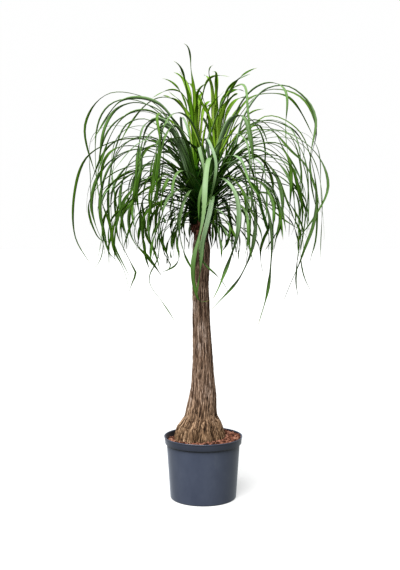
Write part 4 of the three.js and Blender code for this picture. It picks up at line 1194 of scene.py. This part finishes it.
def add_blade(pile, path, width, twist, blunt, tone, ripple=LEAF_RIPPLE):
    """A thin closed blade, channelled along its middle, with fine edges and a waving turn."""
    phase = tone * PHASE_PER_TONE % 1
    length = np.linalg.norm(np.diff(path, axis=0), axis=1).sum()
    path = rippled(path, ripple * length, phase)
    along = np.linspace(0, 1, len(path))
    swing = math.radians(LEAF_SWING["degrees"]) * fade(along, *LEAF_SWING["run"])
    angles = swing * np.sin(2 * math.pi * (LEAF_SWING["waves"] * along + phase))
    across, up = rocked(*blade_frames(path, twist), angles)
    half = 0.5 * width * width_share(along, blunt)
    gutter = half * between(GUTTER, along)
    rings = []
    for place, side in BLADE_SECTION:
        thick = 0.5 * BLADE_THICKNESS * side * (1 - EDGE_THINNING * abs(place))
        height = gutter * (place * place - 0.5) + thick
        rings.append(path + across * (half * place)[:, None] + up * height[:, None])
    places, sides = np.array(BLADE_SECTION).T
    pile.add(
        np.stack(rings, 1).reshape(-1, 3), BLADE_FACES,
        along=np.repeat(along * (BLUNT_END if blunt else 1), len(places)),
        across=np.tile(places, len(path)),
        under=np.tile(0.5 - 0.5 * sides, len(path)),
        leaf=tone,
    )


def draw_leaf(tier, share, azimuth, draw):
    """One leaf of a tier. The order of the draws is the part's."""
    leaf = {
        "azimuth": azimuth,
        "rise": between(tier["rise"], RISE_ORDER * share + (1 - RISE_ORDER) * next(draw)),
        "length": between(tier["length"], LENGTH_ORDER * share + (1 - LENGTH_ORDER) * next(draw)),
    }
    for key in ("width", "bend_at", "bend_span", "hang"):
        leaf[key] = between(tier[key], next(draw))
    for key in ("drift", "twist"):
        leaf[key] = between((-tier[key], tier[key]), next(draw))
    leaf["phase"] = next(draw)
    leaf["blunt"] = next(draw) < tier["blunt"]
    return leaf


def turned_aside(azimuth):
    """The azimuth of a leaf, turned away from the front if it's near it."""
    turn, width = FRONT_TURN
    off = (azimuth + 270) % 360 - 180
    return azimuth + math.copysign(turn * math.exp(-(off / width) ** 2), off)


def head_leaves(head, tiers, seed):
    """Root and drawn values of each leaf that the rule puts on a head."""
    draw = draws_from(seed)
    number = 0
    for tier in tiers:
        for index in range(tier["count"]):
            number += 1
            share = (index + next(draw)) / tier["count"]
            height = between(tier["height"], share)
            arc = 360 - (360 - OPEN_ARC) * min(1, 2 * height)
            azimuth = head["away"] + arc * (number * GOLDEN % 1 - 0.5)
            azimuth = turned_aside(azimuth + AZIMUTH_JITTER * (next(draw) - 0.5))
            leaf = draw_leaf(tier, share, azimuth, draw)
            cos = math.cos(math.radians(azimuth))
            sin = math.sin(math.radians(azimuth))
            leaf["length"] *= 1 - FRONT_TRIM["most"] * max(0, -sin) ** FRONT_TRIM["power"]
            out = core_radius(height) - ROOT_DEPTH
            yield axis_point(head, height) + (out * cos, out * sin, 0), leaf


def clear_of_trunk(path):
    """True if no part of a leaf comes near the trunk under the crown."""
    low = path[path[:, 2] < HANGING_BELOW]
    radius, shift = trunk_outline(low[:, 2])
    return bool(np.all(np.hypot(low[:, 0] - shift, low[:, 1]) > radius + TRUNK_CLEARANCE))


def make_core(head, material):
    turn = full_turn(CORE_SIDES)
    rings = []
    for share in np.linspace(0, 1, CORE_RINGS):
        ribs = 1 + CORE_RIBS["depth"] * np.cos(CORE_RIBS["count"] * turn + CORE_RIBS["slant"] * share)
        x, y, z = axis_point(head, share)
        rings.append(ring(core_radius(share) * ribs - 1, z, turn, (x, y)))
    faces = tube_faces(CORE_RINGS, CORE_SIDES)
    core = make_object(f"core_{head['name']}", np.concatenate(rings), faces, material)
    finish_piece(core, "leaf", "crown_leaves")


def make_crown(head, material):
    name = head["name"]
    pile = Pile("along", "across", "under", "leaf")
    tones = np.random.default_rng(head["seed"])
    for root, leaf in head_leaves(head, TIERS, head["seed"]):
        add_blade(pile, leaf_path(root, leaf), leaf["width"], leaf["twist"], leaf["blunt"], tones.random())
    for (height, width, twist), *points in LAID_LEAVES[name]:
        tone = between(SHEEN_PALE_TONES if width > BROAD else (0, 1), tones.random())
        add_blade(pile, through_points([axis_point(head, height), *points]), width, twist, False, tone)
    for (height, width, twist, tone), *points in FINE_LEAVES[name]:
        add_blade(pile, through_points([axis_point(head, height), *points]), width, twist, LATE, tone)
    # Fill leaves keep their tone; the inner ones are darkened as painted shade round the roots.
    for tiers, seed, darkening, ripple in (
        (FILL_TIERS, FILL_SEEDS[name], 1, FILL_RIPPLE),
        (INNER_TIERS, INNER_SEEDS[name], INNER_SHADE_TONE, LEAF_RIPPLE),
    ):
        for root, leaf in head_leaves(head, tiers, seed):
            path = leaf_path(root, leaf)
            if clear_of_trunk(path):
                tone = darkening * tones.random()
                add_blade(pile, path, leaf["width"], leaf["twist"], leaf["blunt"], tone, ripple)
    finish_piece(pile.object(f"crown_{name}", material), "leaf", "crown_leaves")


def make_young(head, material):
    name = head["name"]
    pile = Pile("along", "across", "under", "leaf")
    draw = draws_from(head["young"])
    tones = np.random.default_rng(head["young"])
    x, y, z = head["tip"]
    vertices, faces = turned(YOUNG_BUD, BUD_SIDES)
    pile.add(vertices + (x, y, z + BUD_GAP), faces, along=0, across=0, under=0, leaf=BUD_TONE)
    for number in range(YOUNG["count"]):
        share = (number + next(draw)) / YOUNG["count"]
        azimuth = head["away"] + OPEN_ARC * (number * GOLDEN % 1 - 0.5)
        leaf = draw_leaf(YOUNG, share, azimuth, draw)
        outward, _ = facing(math.radians(azimuth))
        path = leaf_path(outward * YOUNG_ROOT_RADIUS + (x, y, z + YOUNG_ROOT_Z), leaf)
        add_blade(pile, path, YOUNG_WIDEN * leaf["width"], leaf["twist"], False, tones.random())
    for (width, twist, tone), *points in FAN_LEAVES[name]:
        path = through_points([(x, y, z + YOUNG_ROOT_Z), *points])
        add_blade(pile, path, width, twist, False, tone)
    finish_piece(pile.object(f"young_{name}", material), "young_leaf", f"young_leaves_{name}")


# ---- Stage ----
def aim(thing, place, target):
    place = Vector(place) * MM
    thing.location = place
    thing.rotation_euler = (Vector(target) * MM - place).to_track_quat("-Z", "Y").to_euler()


def make_camera():
    camera = bpy.data.objects.new("camera", bpy.data.cameras.new("camera"))
    camera.data.lens = CAMERA_LENS
    camera.data.sensor_width = CAMERA_SENSOR
    camera.data.clip_end = CAMERA_CLIP_END
    bpy.context.collection.objects.link(camera)
    aim(camera, CAMERA_PLACE, CAMERA_TARGET)
    bpy.context.scene.camera = camera


def make_key_light(direction, softness, power):
    """A far, wide soft light that shines from the direction."""
    lamp = bpy.data.lights.new("key", "SUN")
    lamp.angle = math.radians(softness)
    lamp.energy = power
    made = bpy.data.objects.new("key", lamp)
    bpy.context.collection.objects.link(made)
    aim(made, np.array(direction) / MM, (0, 0, 0))


def make_world():
    """A white backdrop behind a plant that is lit by softer light from all round."""
    world = bpy.data.worlds.new("studio")
    world.use_nodes = True
    nodes = world.node_tree.nodes
    room = nodes["Background"]
    room.inputs["Color"].default_value = ROOM_TINT
    room.inputs["Strength"].default_value = ROOM_LIGHT
    backdrop = nodes.new("ShaderNodeBackground")
    backdrop.inputs["Strength"].default_value = BACKDROP_LIGHT
    seen = nodes.new("ShaderNodeMixShader")
    links = world.node_tree.links
    links.new(nodes.new("ShaderNodeLightPath").outputs["Is Camera Ray"], seen.inputs[0])
    links.new(room.outputs[0], seen.inputs[1])
    links.new(backdrop.outputs[0], seen.inputs[2])
    links.new(seen.outputs[0], nodes["World Output"].inputs["Surface"])
    bpy.context.scene.world = world


def make_stage():
    rim = ring(FLOOR_RADIUS, 0, full_turn(FLOOR_SIDES))
    floor = make_object("floor", rim, [tuple(range(FLOOR_SIDES))], floor_finish(), smooth=False)
    floor.visible_diffuse = False
    floor.visible_glossy = False
    make_world()
    make_key_light(**KEY_LIGHT)
    bpy.context.scene.view_settings.view_transform = "Standard"
    bpy.context.scene.view_settings.look = "Medium High Contrast"


make_camera()
make_stage()
make_pot(pot_finish())
lava = chip_finish()
make_chip_bed(lava)
make_chips(lava)
bark = bark_finish()
make_trunk(bark)
make_collar(bark)
make_fibres(bark)
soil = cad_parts["soil"].data.materials
soil.clear()
soil.append(soil_finish())
leaf_green = leaf_finish("leaf", **LEAF_COLOURS)
young_green = leaf_finish("young_leaf", **YOUNG_COLOURS)
core_green = core_finish()
for head in HEADS:
    make_core(head, core_green)
    make_crown(head, leaf_green)
    make_young(head, young_green)
